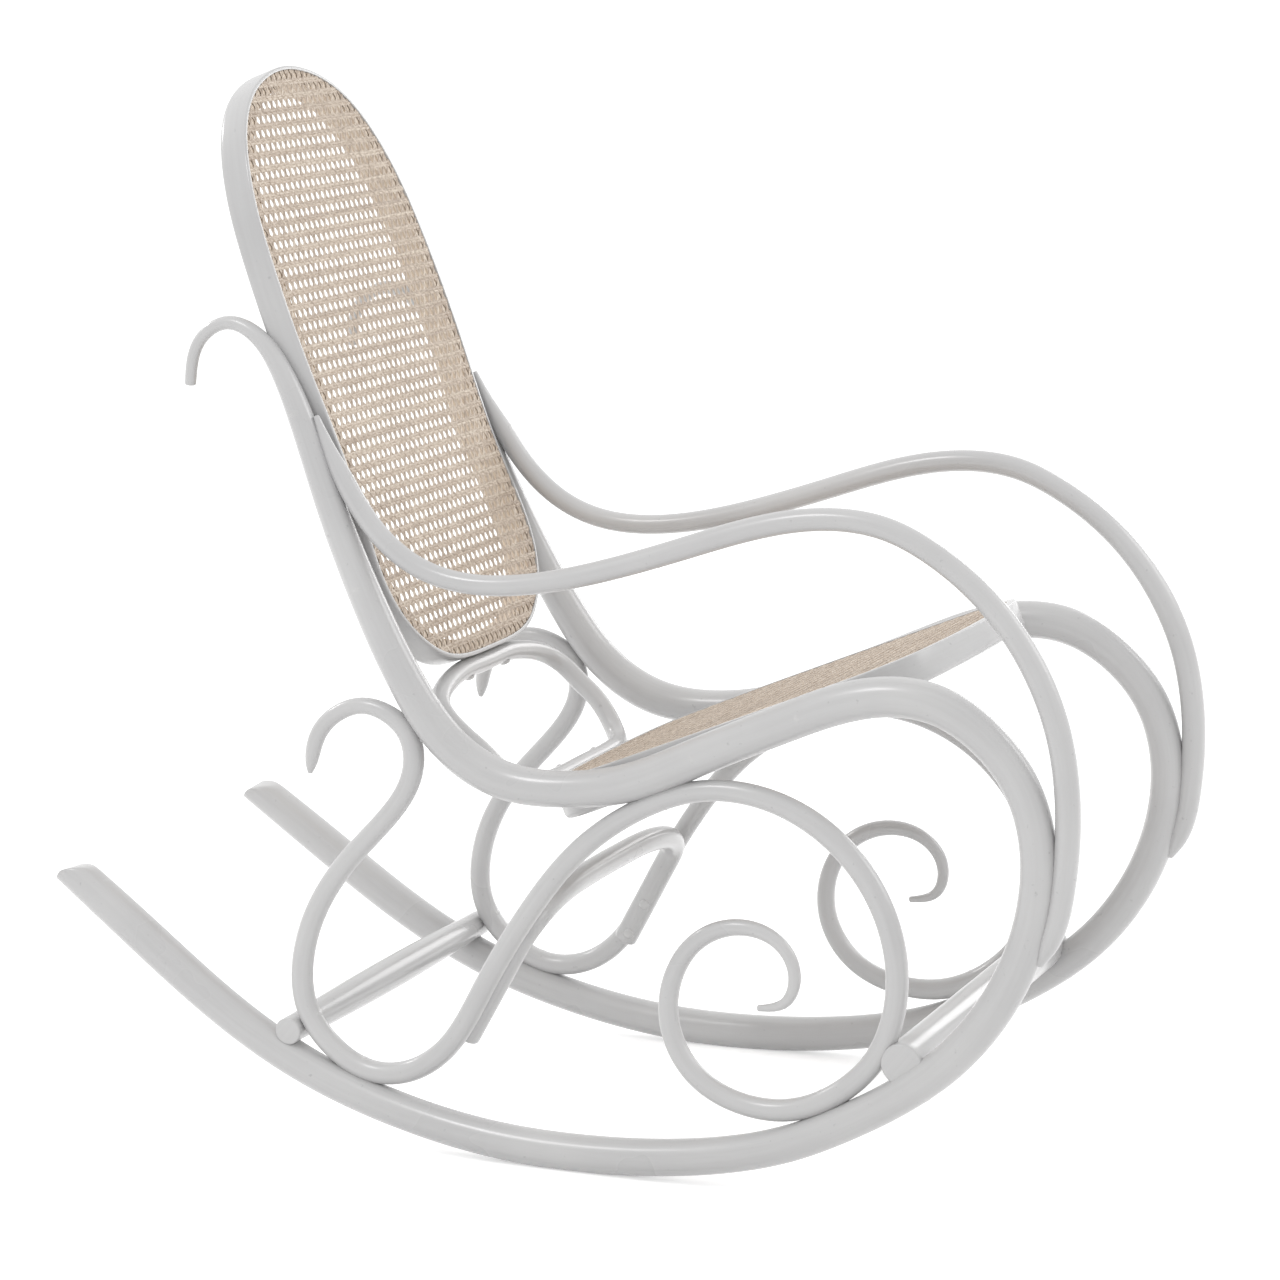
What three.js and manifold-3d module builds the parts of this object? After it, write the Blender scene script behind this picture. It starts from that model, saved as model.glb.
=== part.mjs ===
// Bentwood rocking chair with cane back and seat. Millimetres, Z up, the chair faces +X.
// Each side is one long bent bow, a bent arm and a bent scroll that share one leaning plane.
// Hoops, a ring, a brace and two stretchers join the sides.
import * as THREE from "three";
import { mergeGeometries, mergeVertices } from "three/addons/utils/BufferGeometryUtils.js";
import Module from "manifold-3d";

const wasm = await Module();
wasm.setup();

// Sizes of the whole frame.
const FRAME_SPAN = 1000; // the length that every share of the side bends is taken of
const HALF_SPREAD = 235; // middle plane of the chair to a side's plane, at the side's origin
const LEAN_DEG = 3; // each side leans inwards with height
const TOE_DEG = 1.6; // each side opens towards the front
const CLEAR = 0.3; // gap left where two pieces seat against each other
const FLAT_DEPTH = 0.8; // wood worn from the runner where it meets the floor

// Side bends as shares of FRAME_SPAN: forward, up, half thickness.
const BOW_SHARES = [
  [-0.68, 0.234, 0.0165], [-0.573, 0.156, 0.0183], [-0.484, 0.093, 0.018],
  [-0.4, 0.047, 0.0175], [-0.3, 0.013, 0.017], [-0.2, -0.005, 0.0172],
  [-0.1, -0.0085, 0.0176], [0, 0, 0.0173], [0.1, 0.025, 0.017],
  [0.148, 0.0475, 0.017], [0.2, 0.078, 0.017], [0.25, 0.118, 0.017],
  [0.288, 0.166, 0.017], [0.314, 0.221, 0.017], [0.3255, 0.28, 0.0168],
  [0.322, 0.33, 0.0168], [0.307, 0.37, 0.0168], [0.278, 0.406, 0.0172],
  [0.222, 0.438, 0.0182], [0.16, 0.438, 0.0185], [0.08, 0.409, 0.018],
  [0, 0.373, 0.018], [-0.07, 0.343, 0.018], [-0.137, 0.332, 0.0172],
  [-0.195, 0.336, 0.018], [-0.245, 0.361, 0.018], [-0.29, 0.413, 0.0175],
  [-0.3355, 0.4935, 0.016], [-0.3735, 0.5765, 0.0145], [-0.4045, 0.654, 0.0125],
  [-0.4275, 0.7025, 0.0105], [-0.452, 0.7345, 0.0085], [-0.487, 0.748, 0.0065],
  [-0.516, 0.729, 0.006], [-0.525, 0.688, 0.0055],
];
const ARM_SHARES = [
  [-0.392, 0.664, 0.003], [-0.378, 0.634, 0.0065], [-0.362, 0.606, 0.0095],
  [-0.345, 0.58, 0.0098], [-0.32, 0.552, 0.0098], [-0.287, 0.53, 0.0098],
  [-0.245, 0.518, 0.0098], [-0.2, 0.517, 0.0098], [-0.141, 0.526, 0.0101],
  [-0.067, 0.5465, 0.0104], [-0.019, 0.5625, 0.0105], [0.05, 0.585, 0.0106],
  [0.126, 0.597, 0.0105], [0.175, 0.591, 0.0106], [0.2185, 0.5715, 0.0106],
  [0.258, 0.544, 0.011], [0.29, 0.512, 0.0113], [0.32, 0.4675, 0.0117],
  [0.339, 0.422, 0.0117], [0.349, 0.373, 0.0117], [0.3515, 0.323, 0.0115],
  [0.3485, 0.28, 0.0112], [0.3425, 0.248, 0.011], [0.335, 0.228, 0.0095], [0.328, 0.2125, 0.005],
];
const SCROLL_SHARES = [
  [-0.3945, 0.3275, 0.0025], [-0.3935, 0.3345, 0.0052], [-0.3915, 0.348, 0.0074],
  [-0.3845, 0.3675, 0.008], [-0.3675, 0.385, 0.008], [-0.338, 0.395, 0.008],
  [-0.311, 0.3875, 0.009], [-0.294, 0.3735, 0.01],
  [-0.287, 0.355, 0.0103], [-0.291, 0.325, 0.0101], [-0.309, 0.296, 0.01],
  [-0.352, 0.248, 0.0102], [-0.384, 0.2, 0.0104], [-0.399, 0.152, 0.0105],
  [-0.395, 0.102, 0.0105], [-0.368, 0.067, 0.0105], [-0.328, 0.047, 0.0105],
  [-0.286, 0.051, 0.0105], [-0.247, 0.0785, 0.0102], [-0.213, 0.1345, 0.0102],
  [-0.165, 0.216, 0.0102], [-0.118, 0.275, 0.0102], [-0.062, 0.317, 0.01],
  [0, 0.341, 0.01], [0.062, 0.34, 0.0103], [0.121, 0.3155, 0.0109],
  [0.168, 0.2695, 0.0109], [0.1925, 0.2145, 0.0107], [0.1955, 0.163, 0.0105],
  [0.1795, 0.1135, 0.0105], [0.1455, 0.077, 0.0105], [0.1, 0.0555, 0.0105],
  [0.052, 0.055, 0.01], [0.0045, 0.0765, 0.0098], [-0.0215, 0.1165, 0.0095],
  [-0.022, 0.162, 0.009], [0.002, 0.202, 0.0085], [0.044, 0.219, 0.0077],
  [0.082, 0.208, 0.0066], [0.098, 0.18, 0.006], [0.09, 0.154, 0.005], [0.064, 0.146, 0.003],
];
// Cuts that pare the runner's tip: the place of each, and its rise towards the front from there.
const TIP_CUT_SHARES = [[-0.666, 0.2048], [-0.6596, 0.2104], [-0.6375, 0.2167], [-0.6275, 0.2161]];
const TIP_CUT_DEGS = [41, 16, -3, -19];

// Hoops: half of each outline in its own plane. A row holds the lateral place, as a share of the way
// from the middle of the chair to a side's plane there, and the place along the hoop's length.
const BACK_LENGTH_SHARE = 0.6;
const BACK_FOOT_SHARE = 0.449; // foot of the back's outline, measured up its own slope
const BACK_FRONT_SHARE = 0.13; // how far behind the side origin the back's front plane passes
const BACK_RECLINE_DEG = 21.1;
const BACK_SHARES = [
  [0, 0], [0.293, 0.002], [0.514, 0.016], [0.71, 0.053], [0.841, 0.1], [0.909, 0.155],
  [0.922, 0.21], [0.907, 0.29], [0.914, 0.387], [0.955, 0.493], [0.984, 0.6],
  [0.985, 0.692], [0.956, 0.782], [0.883, 0.85], [0.735, 0.918], [0.521, 0.965],
  [0.265, 0.991], [0, 1],
];
const SEAT_LENGTH_SHARE = 0.432;
const SEAT_REAR_SHARE = -0.206; // rear of the seat's outline, measured down its own slope
const SEAT_TOP_SHARE = 0.394; // height of the seat's top plane over the side origin
const SEAT_SLOPE_DEG = 22.3;
const SEAT_SHARES = [
  [0, 0], [0.264, 0.004], [0.476, 0.016], [0.658, 0.04], [0.759, 0.075], [0.83, 0.125],
  [0.884, 0.2], [0.915, 0.3], [0.93, 0.43], [0.932, 0.6], [0.926, 0.75], [0.891, 0.86],
  [0.772, 0.935], [0.521, 0.978], [0.24, 0.996], [0, 1],
];
const RIM_WIDTH = 19;
const BACK_RIM_DEPTH = 30;
const SEAT_RIM_DEPTH = 40;
const SEAT_FRONT_SHARE = 0.7; // depth of the seat's front rail, of the rear rail's depth
const RIM_ROUND = 5;
const RIM_EASE = 1.5;
const CANE_THICK = 2;
const BACK_CANE_INSET = 4;
const SEAT_CANE_INSET = 9;
const CANE_PITCH = 33;
const CANE_HOLE = 20;
const CANE_EDGE = 3; // plain net between the rim's inner face and the nearest opening

// Ring between the back and the seat: its top bar hangs from the back's foot, and its front bar
// rests against the seat's rear rail. One half: lateral place as a share of HALF_SPREAD, then the
// shares of the way down and forward from the top bar to the front bar.
const RING_RADIUS = 9.5;
const RING_FOOT_DEPTH = 3; // the front bar's centre below the seat's top plane
const RING_SHARES = [
  [0, 0, 0], [0.24, 0, 0], [0.42, 0.055, 0.03], [0.535, 0.125, 0.078], [0.6, 0.206, 0.145],
  [0.63, 0.319, 0.26], [0.63, 0.451, 0.393], [0.622, 0.605, 0.565], [0.6, 0.789, 0.718],
  [0.566, 0.93, 0.823], [0.503, 1, 0.909], [0.39, 1, 0.98], [0.24, 1, 1], [0, 1, 1],
];

// Brace under the seat, one half: forward and up as shares of FRAME_SPAN, and the lateral place
// as a share of the leg's own distance from the middle.
const BRACE_RADIUS = 11.8;
const BRACE_BESIDE = 17.5; // a leg's centre inside the side's plane
const BRACE_SHARES = [
  [-0.2335, 0.086, 1], [-0.209, 0.131, 1], [-0.1895, 0.167, 1], [-0.181, 0.183, 0.99],
  [-0.175, 0.197, 0.905], [-0.1725, 0.2075, 0.73], [-0.173, 0.2125, 0.49], [-0.175, 0.2128, 0.22],
  [-0.1755, 0.2128, 0],
];

// The two stretchers: place in the side's plane, and how far each stands out of that plane.
const REAR_BAR_SHARES = [-0.409, 0.0795];
const REAR_BAR_END = 13;
const REAR_BAR_BELLY = 16;
const REAR_BAR_PROUD = 14;
const REAR_BELLY_SHARES = [[0, 1], [0.25, 0.92], [0.5, 0.65], [0.75, 0.25], [0.9, 0], [1, 0]];
const FRONT_BAR_SHARES = [0.205, 0.11];
const FRONT_BAR_RADIUS = 19.5;
const FRONT_BAR_PROUD = 9;
const FRONT_MIDDLE_SHARE = 0.4; // where the plain front bar has one more ring of points
const BAR_EASE = 2; // ease on the arris of a bar's end

// Screws with domed heads.
const SCREW_HEAD = 5.5;
const SCREW_DOME = 2.6;
const SCREW_SINK = 2.4; // how deep a head's seat lies in the wood, where the head is all but flush
const PROUD_SINK = 1.4; // the same on the ring and the brace, where the heads stand out
const SCREW_SHANK = 2.2;
const SCREW_BITE = 14; // length of thread in the second piece
const DOME_SHARES = [[1, 0.25], [0.7, 0.8]]; // rim and crown of a head: radius, height

// Screw places. The first four tables are shares of FRAME_SPAN in the side's plane.
const BACK_SCREWS_SHARES = [[-0.34, 0.506], [-0.408, 0.668]];
const SEAT_SCREWS_SHARES = [[0, 0.373], [0.1, 0.416]];
const ARM_SCREWS_SHARES = [[-0.362, 0.606], [0.3495, 0.262]];
const SCROLL_SCREWS_SHARES = [[-0.281, 0.361], [-0.338, 0.045], [-0.034, 0.331], [0.131, 0.064]];
const BRACE_SCREWS_SHARES = [0.18, 0.9]; // of the brace leg's first stretch
const RING_SCREW_SHARE = 0.19; // of HALF_SPREAD

// How finely bends are cut: degrees of turn for each straight stretch, and sides of a section.
const BOW_TURN_DEG = 10;
const SCROLL_TURN_DEG = 16;
const ARM_TURN_DEG = 10;
const HOOP_TURN_DEG = 13;
const RING_TURN_DEG = 18;
const BOW_SIDES = 10;
const ROD_SIDES = 8;
const BAR_SIDES = 16;
const SCREW_SIDES = 6;
const LONGEST_SHARE = 1 / 16; // longest straight stretch, of FRAME_SPAN
const CURVE_STEPS = 24; // points of a dense curve between two given ones
const END_SHARES = [0.35, 0.7]; // an eased end's reach and radius, of the rod's radius
const OVERRUN = 1; // how far a cutter reaches past what it cuts

const rad = THREE.MathUtils.degToRad;
const V3 = (x, y, z) => new THREE.Vector3(x, y, z);

// A fair curve through points: natural cubic splines over chord length, sampled evenly.
function fairCurve(points, steps, closed = false) {
  const ring = closed ? [...points.slice(-4), ...points, ...points.slice(0, 5)] : points;
  const n = ring.length;
  const at = [0];
  for (let i = 1; i < n; i++) {
    const gap = Math.hypot(...ring[i].map((v, k) => v - ring[i - 1][k]));
    at.push(at[i - 1] + gap);
  }
  const bends = ring[0].map((_, axis) => {
    const upper = new Array(n).fill(0);
    const m = new Array(n).fill(0);
    for (let i = 1; i < n - 1; i++) {
      const before = at[i] - at[i - 1];
      const after = at[i + 1] - at[i];
      const slopeBefore = (ring[i][axis] - ring[i - 1][axis]) / before;
      const slopeAfter = (ring[i + 1][axis] - ring[i][axis]) / after;
      const pivot = 2 * (before + after) - before * upper[i - 1];
      upper[i] = after / pivot;
      m[i] = (6 * (slopeAfter - slopeBefore) - before * m[i - 1]) / pivot;
    }
    for (let i = n - 2; i > 0; i--) m[i] -= upper[i] * m[i + 1];
    return m;
  });
  const from = closed ? at[4] : 0;
  const to = closed ? at[4 + points.length] : at[n - 1];
  const out = [];
  let i = 1;
  for (let k = 0; k <= steps; k++) {
    const u = from + ((to - from) * k) / steps;
    while (i < n - 1 && at[i] < u) i++;
    const h = at[i] - at[i - 1];
    const a = (at[i] - u) / h;
    const b = 1 - a;
    out.push(
      ring[i].map((v, axis) => {
        const cubic = (a ** 3 - a) * bends[axis][i - 1] + (b ** 3 - b) * bends[axis][i];
        return a * ring[i - 1][axis] + b * v + (cubic * h * h) / 6;
      }),
    );
  }
  return out;
}

// Keeps the points of a dense curve where it has turned enough or run far enough.
function thin(dense, turnDeg, farthest) {
  const kept = [dense[0]];
  let heading = null;
  let turned = 0;
  let run = 0;
  for (let i = 1; i < dense.length - 1; i++) {
    const dir = Math.atan2(dense[i + 1][1] - dense[i][1], dense[i + 1][0] - dense[i][0]);
    if (heading !== null) {
      turned += Math.abs(Math.atan2(Math.sin(dir - heading), Math.cos(dir - heading)));
    }
    heading = dir;
    run += Math.hypot(dense[i][0] - dense[i - 1][0], dense[i][1] - dense[i - 1][1]);
    if (turned >= rad(turnDeg) || run >= farthest) {
      kept.push(dense[i]);
      turned = 0;
      run = 0;
    }
  }
  kept.push(dense.at(-1));
  return kept;
}

// A round bar along a path of stations, each with a centre, a forward direction and a radius.
function bar(stations, sides, closed = false) {
  const position = [];
  const index = [];
  const count = stations.length;
  stations.forEach(({ centre, forward, aside, radius }) => {
    const across = aside.clone().normalize();
    const over = forward.clone().cross(across).normalize();
    for (let j = 0; j < sides; j++) {
      const turn = (2 * Math.PI * (j + 0.5)) / sides;
      const rim = centre
        .clone()
        .addScaledVector(over, radius * Math.cos(turn))
        .addScaledVector(across, radius * Math.sin(turn));
      position.push(rim.x, rim.y, rim.z);
    }
  });
  const last = closed ? count : count - 1;
  for (let i = 0; i < last; i++) {
    const here = i * sides;
    const next = ((i + 1) % count) * sides;
    for (let j = 0; j < sides; j++) {
      const k = (j + 1) % sides;
      index.push(here + j, next + j, here + k, here + k, next + j, next + k);
    }
  }
  if (!closed) {
    [0, count - 1].forEach((i) => {
      const hub = position.length / 3;
      position.push(...stations[i].centre.toArray());
      for (let j = 0; j < sides; j++) {
        const k = (j + 1) % sides;
        if (i) index.push(i * sides + k, i * sides + j, hub);
        else index.push(j, k, hub);
      }
    });
  }
  const g = new THREE.BufferGeometry();
  g.setAttribute("position", new THREE.Float32BufferAttribute(position, 3));
  g.setIndex(index);
  return g;
}

// The right-hand side's own plane, placed in the chair.
const sidePlace = new THREE.Matrix4()
  .makeTranslation(0, -HALF_SPREAD, 0)
  .multiply(new THREE.Matrix4().makeRotationZ(-rad(TOE_DEG)))
  .multiply(new THREE.Matrix4().makeRotationX(-rad(LEAN_DEG)));
const onSide = (s, t, outward = 0) => V3(s, -outward, t).applyMatrix4(sidePlace);
const sideNormal = V3(0, 1, 0).transformDirection(sidePlace);

// Distance from the middle of the chair to a side's plane, at a place seen from the side.
const halfAt = (x, z) => HALF_SPREAD + (sideNormal.x * x + sideNormal.z * z) / sideNormal.y;

// A rod bent in the side's plane, with eased ends.
function sideRod(shares, turnDeg, sides) {
  const points = shares.map((row) => row.map((v) => v * FRAME_SPAN));
  const dense = fairCurve(points, shares.length * CURVE_STEPS);
  const kept = thin(dense, turnDeg, LONGEST_SHARE * FRAME_SPAN);
  const stations = kept.map(([s, t, r], i) => {
    const before = kept[Math.max(i - 1, 0)];
    const after = kept[Math.min(i + 1, kept.length - 1)];
    const a = onSide(before[0], before[1]);
    const b = onSide(after[0], after[1]);
    return { centre: onSide(s, t), forward: b.sub(a).normalize(), aside: sideNormal, radius: r };
  });
  return bar(easeEnds(stations), sides);
}

// Rounds both ends of a bar by one smaller ring just beyond each end.
function easeEnds(stations) {
  const [reach, smaller] = END_SHARES;
  const end = (station, sign) => ({
    ...station,
    centre: station.centre.clone().addScaledVector(station.forward, sign * station.radius * reach),
    radius: station.radius * smaller,
  });
  return [end(stations[0], -1), ...stations, end(stations.at(-1), 1)];
}

function solid(g) {
  const bare = g.clone();
  bare.deleteAttribute("normal");
  bare.deleteAttribute("uv");
  const merged = mergeVertices(bare, 1e-4);
  return new wasm.Manifold(
    new wasm.Mesh({
      numProp: 3,
      vertProperties: new Float32Array(merged.attributes.position.array),
      triVerts: new Uint32Array(merged.index.array),
    }),
  );
}

function geometry(manifold) {
  const m = manifold.getMesh();
  const position = new Float32Array(m.numVert * 3);
  for (let i = 0; i < m.numVert; i++) {
    for (let k = 0; k < 3; k++) position[i * 3 + k] = m.vertProperties[i * m.numProp + k];
  }
  const g = new THREE.BufferGeometry();
  g.setAttribute("position", new THREE.BufferAttribute(position, 3));
  g.setIndex(new THREE.BufferAttribute(new Uint32Array(m.triVerts), 1));
  return g;
}

const grownRod = (shares, turnDeg, sides) =>
  solid(sideRod(shares.map(([s, t, r]) => [s, t, r + CLEAR / FRAME_SPAN]), turnDeg, sides));

// A plane cutter: a block on the far side of a plane through a point.
function block(size, matrix) {
  const g = new THREE.BoxGeometry(size, size, size).translate(0, 0, -size / 2);
  return solid(g.applyMatrix4(matrix));
}


// Turns a closed shell's faces outwards.
function facingOut(g) {
  const p = g.attributes.position;
  const ix = g.index.array;
  let volume = 0;
  const a = V3();
  const b = V3();
  const c = V3();
  for (let i = 0; i < ix.length; i += 3) {
    a.fromBufferAttribute(p, ix[i]);
    b.fromBufferAttribute(p, ix[i + 1]);
    c.fromBufferAttribute(p, ix[i + 2]);
    volume += a.dot(b.cross(c));
  }
  if (volume < 0) {
    for (let i = 0; i < ix.length; i += 3) {
      const swap = ix[i];
      ix[i] = ix[i + 1];
      ix[i + 1] = swap;
    }
  }
  return g;
}

// Flat hoops: a point from its lateral place, its place along the hoop and its depth behind the face.
const recline = rad(BACK_RECLINE_DEG);
const slope = rad(SEAT_SLOPE_DEG);
const onBack = (across, along, depth) =>
  V3(
    -BACK_FRONT_SHARE * FRAME_SPAN - along * Math.sin(recline) - depth * Math.cos(recline),
    across,
    along * Math.cos(recline) - depth * Math.sin(recline),
  );
const onSeat = (across, along, depth) =>
  V3(
    along * Math.cos(slope) + depth * Math.sin(slope),
    across,
    SEAT_TOP_SHARE * FRAME_SPAN + along * Math.sin(slope) - depth * Math.cos(slope),
  );

// A symmetrical closed outline with its outward normals.
function hoopOutline(halfShares, lengthShare, footShare, place) {
  const half = halfShares.map(([across, along]) => {
    const up = (footShare + along * lengthShare) * FRAME_SPAN;
    const spot = place(0, up, 0);
    return [across * halfAt(spot.x, spot.z), up];
  });
  const other = half.slice(1, -1).reverse().map(([across, along]) => [-across, along]);
  const steps = halfShares.length * 2 * CURVE_STEPS;
  const dense = fairCurve([...half, ...other], 2 * steps, true).slice(0, steps + 1);
  const kept = thin(dense, HOOP_TURN_DEG, LONGEST_SHARE * FRAME_SPAN);
  kept[0][0] = 0;
  kept.at(-1)[0] = 0;
  const round = [...kept, ...kept.slice(1, -1).reverse().map(([u, v]) => [-u, v])];
  return round.map(([u, v], i) => {
    const before = round.at(i - 1);
    const after = round[(i + 1) % round.length];
    const run = Math.hypot(after[0] - before[0], after[1] - before[1]);
    return { u, v, nu: (after[1] - before[1]) / run, nv: (before[0] - after[0]) / run };
  });
}
const inwards = ({ u, v, nu, nv }, inset) => [u - nu * inset, v - nv * inset];

// The rim's section, with a rebate that the cane lies in.
function rimSection(lip, rimDepth) {
  const rebate = CANE_THICK + CLEAR;
  return [
    [RIM_EASE, 0], [lip, 0], [lip, rebate], [RIM_WIDTH, rebate], [RIM_WIDTH, rimDepth],
    [RIM_ROUND, rimDepth], [RIM_EASE, rimDepth - RIM_EASE], [0, rimDepth - RIM_ROUND], [0, RIM_EASE],
  ];
}

// The rim: its section swept round the outline, with the depth that it has at each station.
function rim(outline, lip, depthAt, place) {
  const position = [];
  const index = [];
  const n = rimSection(lip, 0).length;
  outline.forEach((station) => {
    rimSection(lip, depthAt(station)).forEach(([inset, depth]) => {
      position.push(...place(...inwards(station, inset), depth).toArray());
    });
  });
  outline.forEach((_, i) => {
    const here = i * n;
    const next = ((i + 1) % outline.length) * n;
    for (let j = 0; j < n; j++) {
      const k = (j + 1) % n;
      index.push(here + j, next + j, here + k, here + k, next + j, next + k);
    }
  });
  const g = new THREE.BufferGeometry();
  g.setAttribute("position", new THREE.Float32BufferAttribute(position, 3));
  g.setIndex(index);
  return solid(facingOut(g));
}

// The cane: a sheet in the rebate, with square openings inside the rim.
function cane(outline, lip, place) {
  const edge = outline.map((station) => new THREE.Vector2(...inwards(station, lip + CLEAR)));
  const sheet = new THREE.Shape(edge);
  const cutters = [];
  const reach = RIM_WIDTH + CANE_EDGE + CANE_HOLE / 2;
  const clear = (u, v) => {
    let inside = false;
    let nearest = Infinity;
    outline.forEach((a, i) => {
      const b = outline[(i + 1) % outline.length];
      if (a.v > v !== b.v > v && u < a.u + ((b.u - a.u) * (v - a.v)) / (b.v - a.v)) inside = !inside;
      const du = b.u - a.u;
      const dv = b.v - a.v;
      const along = THREE.MathUtils.clamp(((u - a.u) * du + (v - a.v) * dv) / (du * du + dv * dv), 0, 1);
      nearest = Math.min(nearest, Math.hypot(u - a.u - du * along, v - a.v - dv * along));
    });
    return inside && nearest > reach;
  };
  const vs = outline.map((station) => station.v);
  const middle = (Math.min(...vs) + Math.max(...vs)) / 2;
  const rows = Math.ceil((Math.max(...vs) - Math.min(...vs)) / 2 / CANE_PITCH);
  const half = CANE_HOLE / 2;
  for (let i = -rows; i <= rows; i++) {
    for (let j = -rows; j <= rows; j++) {
      const u = j * CANE_PITCH;
      const v = middle + i * CANE_PITCH;
      const corners = [[-half, -half], [-half, half], [half, half], [half, -half]];
      if (!corners.every(([du, dv]) => clear(u + du / 2, v + dv / 2))) continue;
      const cutter = new THREE.BoxGeometry(CANE_HOLE, CANE_HOLE, CANE_THICK + 2 * OVERRUN);
      cutters.push(cutter.translate(u, v, CANE_THICK / 2));
    }
  }
  const plate = new THREE.ExtrudeGeometry(sheet, { depth: CANE_THICK, bevelEnabled: false, steps: 1 });
  const flat = geometry(solid(plate).subtract(solid(mergeGeometries(cutters))));
  const p = flat.attributes.position;
  for (let i = 0; i < p.count; i++) p.setXYZ(i, ...place(p.getX(i), p.getY(i), p.getZ(i)).toArray());
  return solid(facingOut(flat));
}

// A round bar that is its own mirror image, from the places of one half.
function mirroredRod(half, radius, turnDeg, square, closed) {
  const flip = ([x, y, z]) => [x, -y, z];
  const skip = closed ? 1 : 0;
  const steps = half.length * CURVE_STEPS;
  const whole = [...half, ...half.slice(skip, -1).reverse().map(flip)];
  const dense = fairCurve(whole, 2 * steps, closed).slice(0, steps + 1);
  const way = (list, i) => {
    const ahead = list[Math.min(i + 1, list.length - 1)];
    return V3(...ahead).sub(V3(...list[Math.max(i - 1, 0)])).normalize();
  };
  const kept = [dense[0]];
  let heading = way(dense, 0);
  for (let i = 1; i < dense.length - 1; i++) {
    const run = V3(...dense[i]).distanceTo(V3(...kept.at(-1)));
    if (way(dense, i).angleTo(heading) >= rad(turnDeg) || run >= LONGEST_SHARE * FRAME_SPAN) {
      kept.push(dense[i]);
      heading = way(dense, i);
    }
  }
  kept.push(dense.at(-1));
  const round = [...kept, ...kept.slice(skip, -1).reverse().map(flip)];
  const stations = round.map((point, i) => {
    const ahead = closed ? round[(i + 1) % round.length] : round[Math.min(i + 1, round.length - 1)];
    const behind = closed ? round.at(i - 1) : round[Math.max(i - 1, 0)];
    const forward = V3(...ahead).sub(V3(...behind)).normalize();
    const aside = square.clone().addScaledVector(forward, -square.dot(forward));
    return { centre: V3(...point), forward, aside, radius };
  });
  return solid(facingOut(bar(closed ? stations : easeEnds(stations), ROD_SIDES, closed)));
}

// A turned bar across the chair; its profile goes from the middle outwards.
function turnedBar(shares, proud, profile) {
  const middle = onSide(...shares.map((share) => share * FRAME_SPAN));
  const half = halfAt(middle.x, middle.z) + proud;
  const end = profile.at(-1)[1];
  const body = profile.slice(0, -1).reverse();
  const quarter = [[half, 0], [half, end - BAR_EASE], [half - BAR_EASE, end]];
  body.forEach(([share, radius]) => quarter.push([half * share, radius]));
  const other = quarter.filter(([at]) => at > 0).reverse().map(([at, radius]) => [-at, radius]);
  const points = [...quarter, ...other].map(([at, radius]) => new THREE.Vector2(radius, at));
  return solid(facingOut(new THREE.LatheGeometry(points, BAR_SIDES).translate(middle.x, 0, middle.z)));
}

// Centre lines of the side's bends, for what is fixed to them.
const placesOf = (shares) => shares.map((row) => row.map((v) => v * FRAME_SPAN));
const centreLine = (shares) => fairCurve(placesOf(shares), shares.length * CURVE_STEPS);
const bowLine = centreLine(BOW_SHARES);
const armLine = centreLine(ARM_SHARES);
const scrollLine = centreLine(SCROLL_SHARES);
const apart = (a, b) => Math.hypot(a[0] - b[0], a[1] - b[1]);
const nearer = (a, b, place) => (apart(b, place) < apart(a, place) ? b : a);
const nearest = (line, place) => line.reduce((best, row) => nearer(best, row, place));

const stock = {};
stock.main_bow = solid(sideRod(BOW_SHARES, BOW_TURN_DEG, BOW_SIDES));
const bowGrown = grownRod(BOW_SHARES, BOW_TURN_DEG, BOW_SIDES);
const scrollGrown = grownRod(SCROLL_SHARES, SCROLL_TURN_DEG, ROD_SIDES);
stock.scroll = solid(sideRod(SCROLL_SHARES, SCROLL_TURN_DEG, ROD_SIDES)).subtract(bowGrown);
stock.arm = solid(sideRod(ARM_SHARES, ARM_TURN_DEG, ROD_SIDES)).subtract(bowGrown);

// The runner's tip is pared to a rounded chisel edge, and its lowest stretch is worn flat to the floor.
TIP_CUT_SHARES.forEach(([forward, up], i) => {
  const at = onSide(forward * FRAME_SPAN, up * FRAME_SPAN);
  const cut = new THREE.Matrix4()
    .makeTranslation(at.x, at.y, at.z)
    .multiply(new THREE.Matrix4().makeRotationY(Math.PI - rad(TIP_CUT_DEGS[i])));
  stock.main_bow = stock.main_bow.subtract(block(FRAME_SPAN / 8, cut));
});
const floorZ = stock.main_bow.boundingBox().min[2] + FLAT_DEPTH;
const below = block(FRAME_SPAN, new THREE.Matrix4().makeTranslation(0, 0, floorZ));
stock.main_bow = stock.main_bow.subtract(below);

// Pieces on the middle plane are notched by what they seat against, on both sides.
const notched = (piece, ...cutters) =>
  cutters.reduce((rest, cutter) => rest.subtract(cutter).subtract(cutter.mirror([0, 1, 0])), piece);

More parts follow.
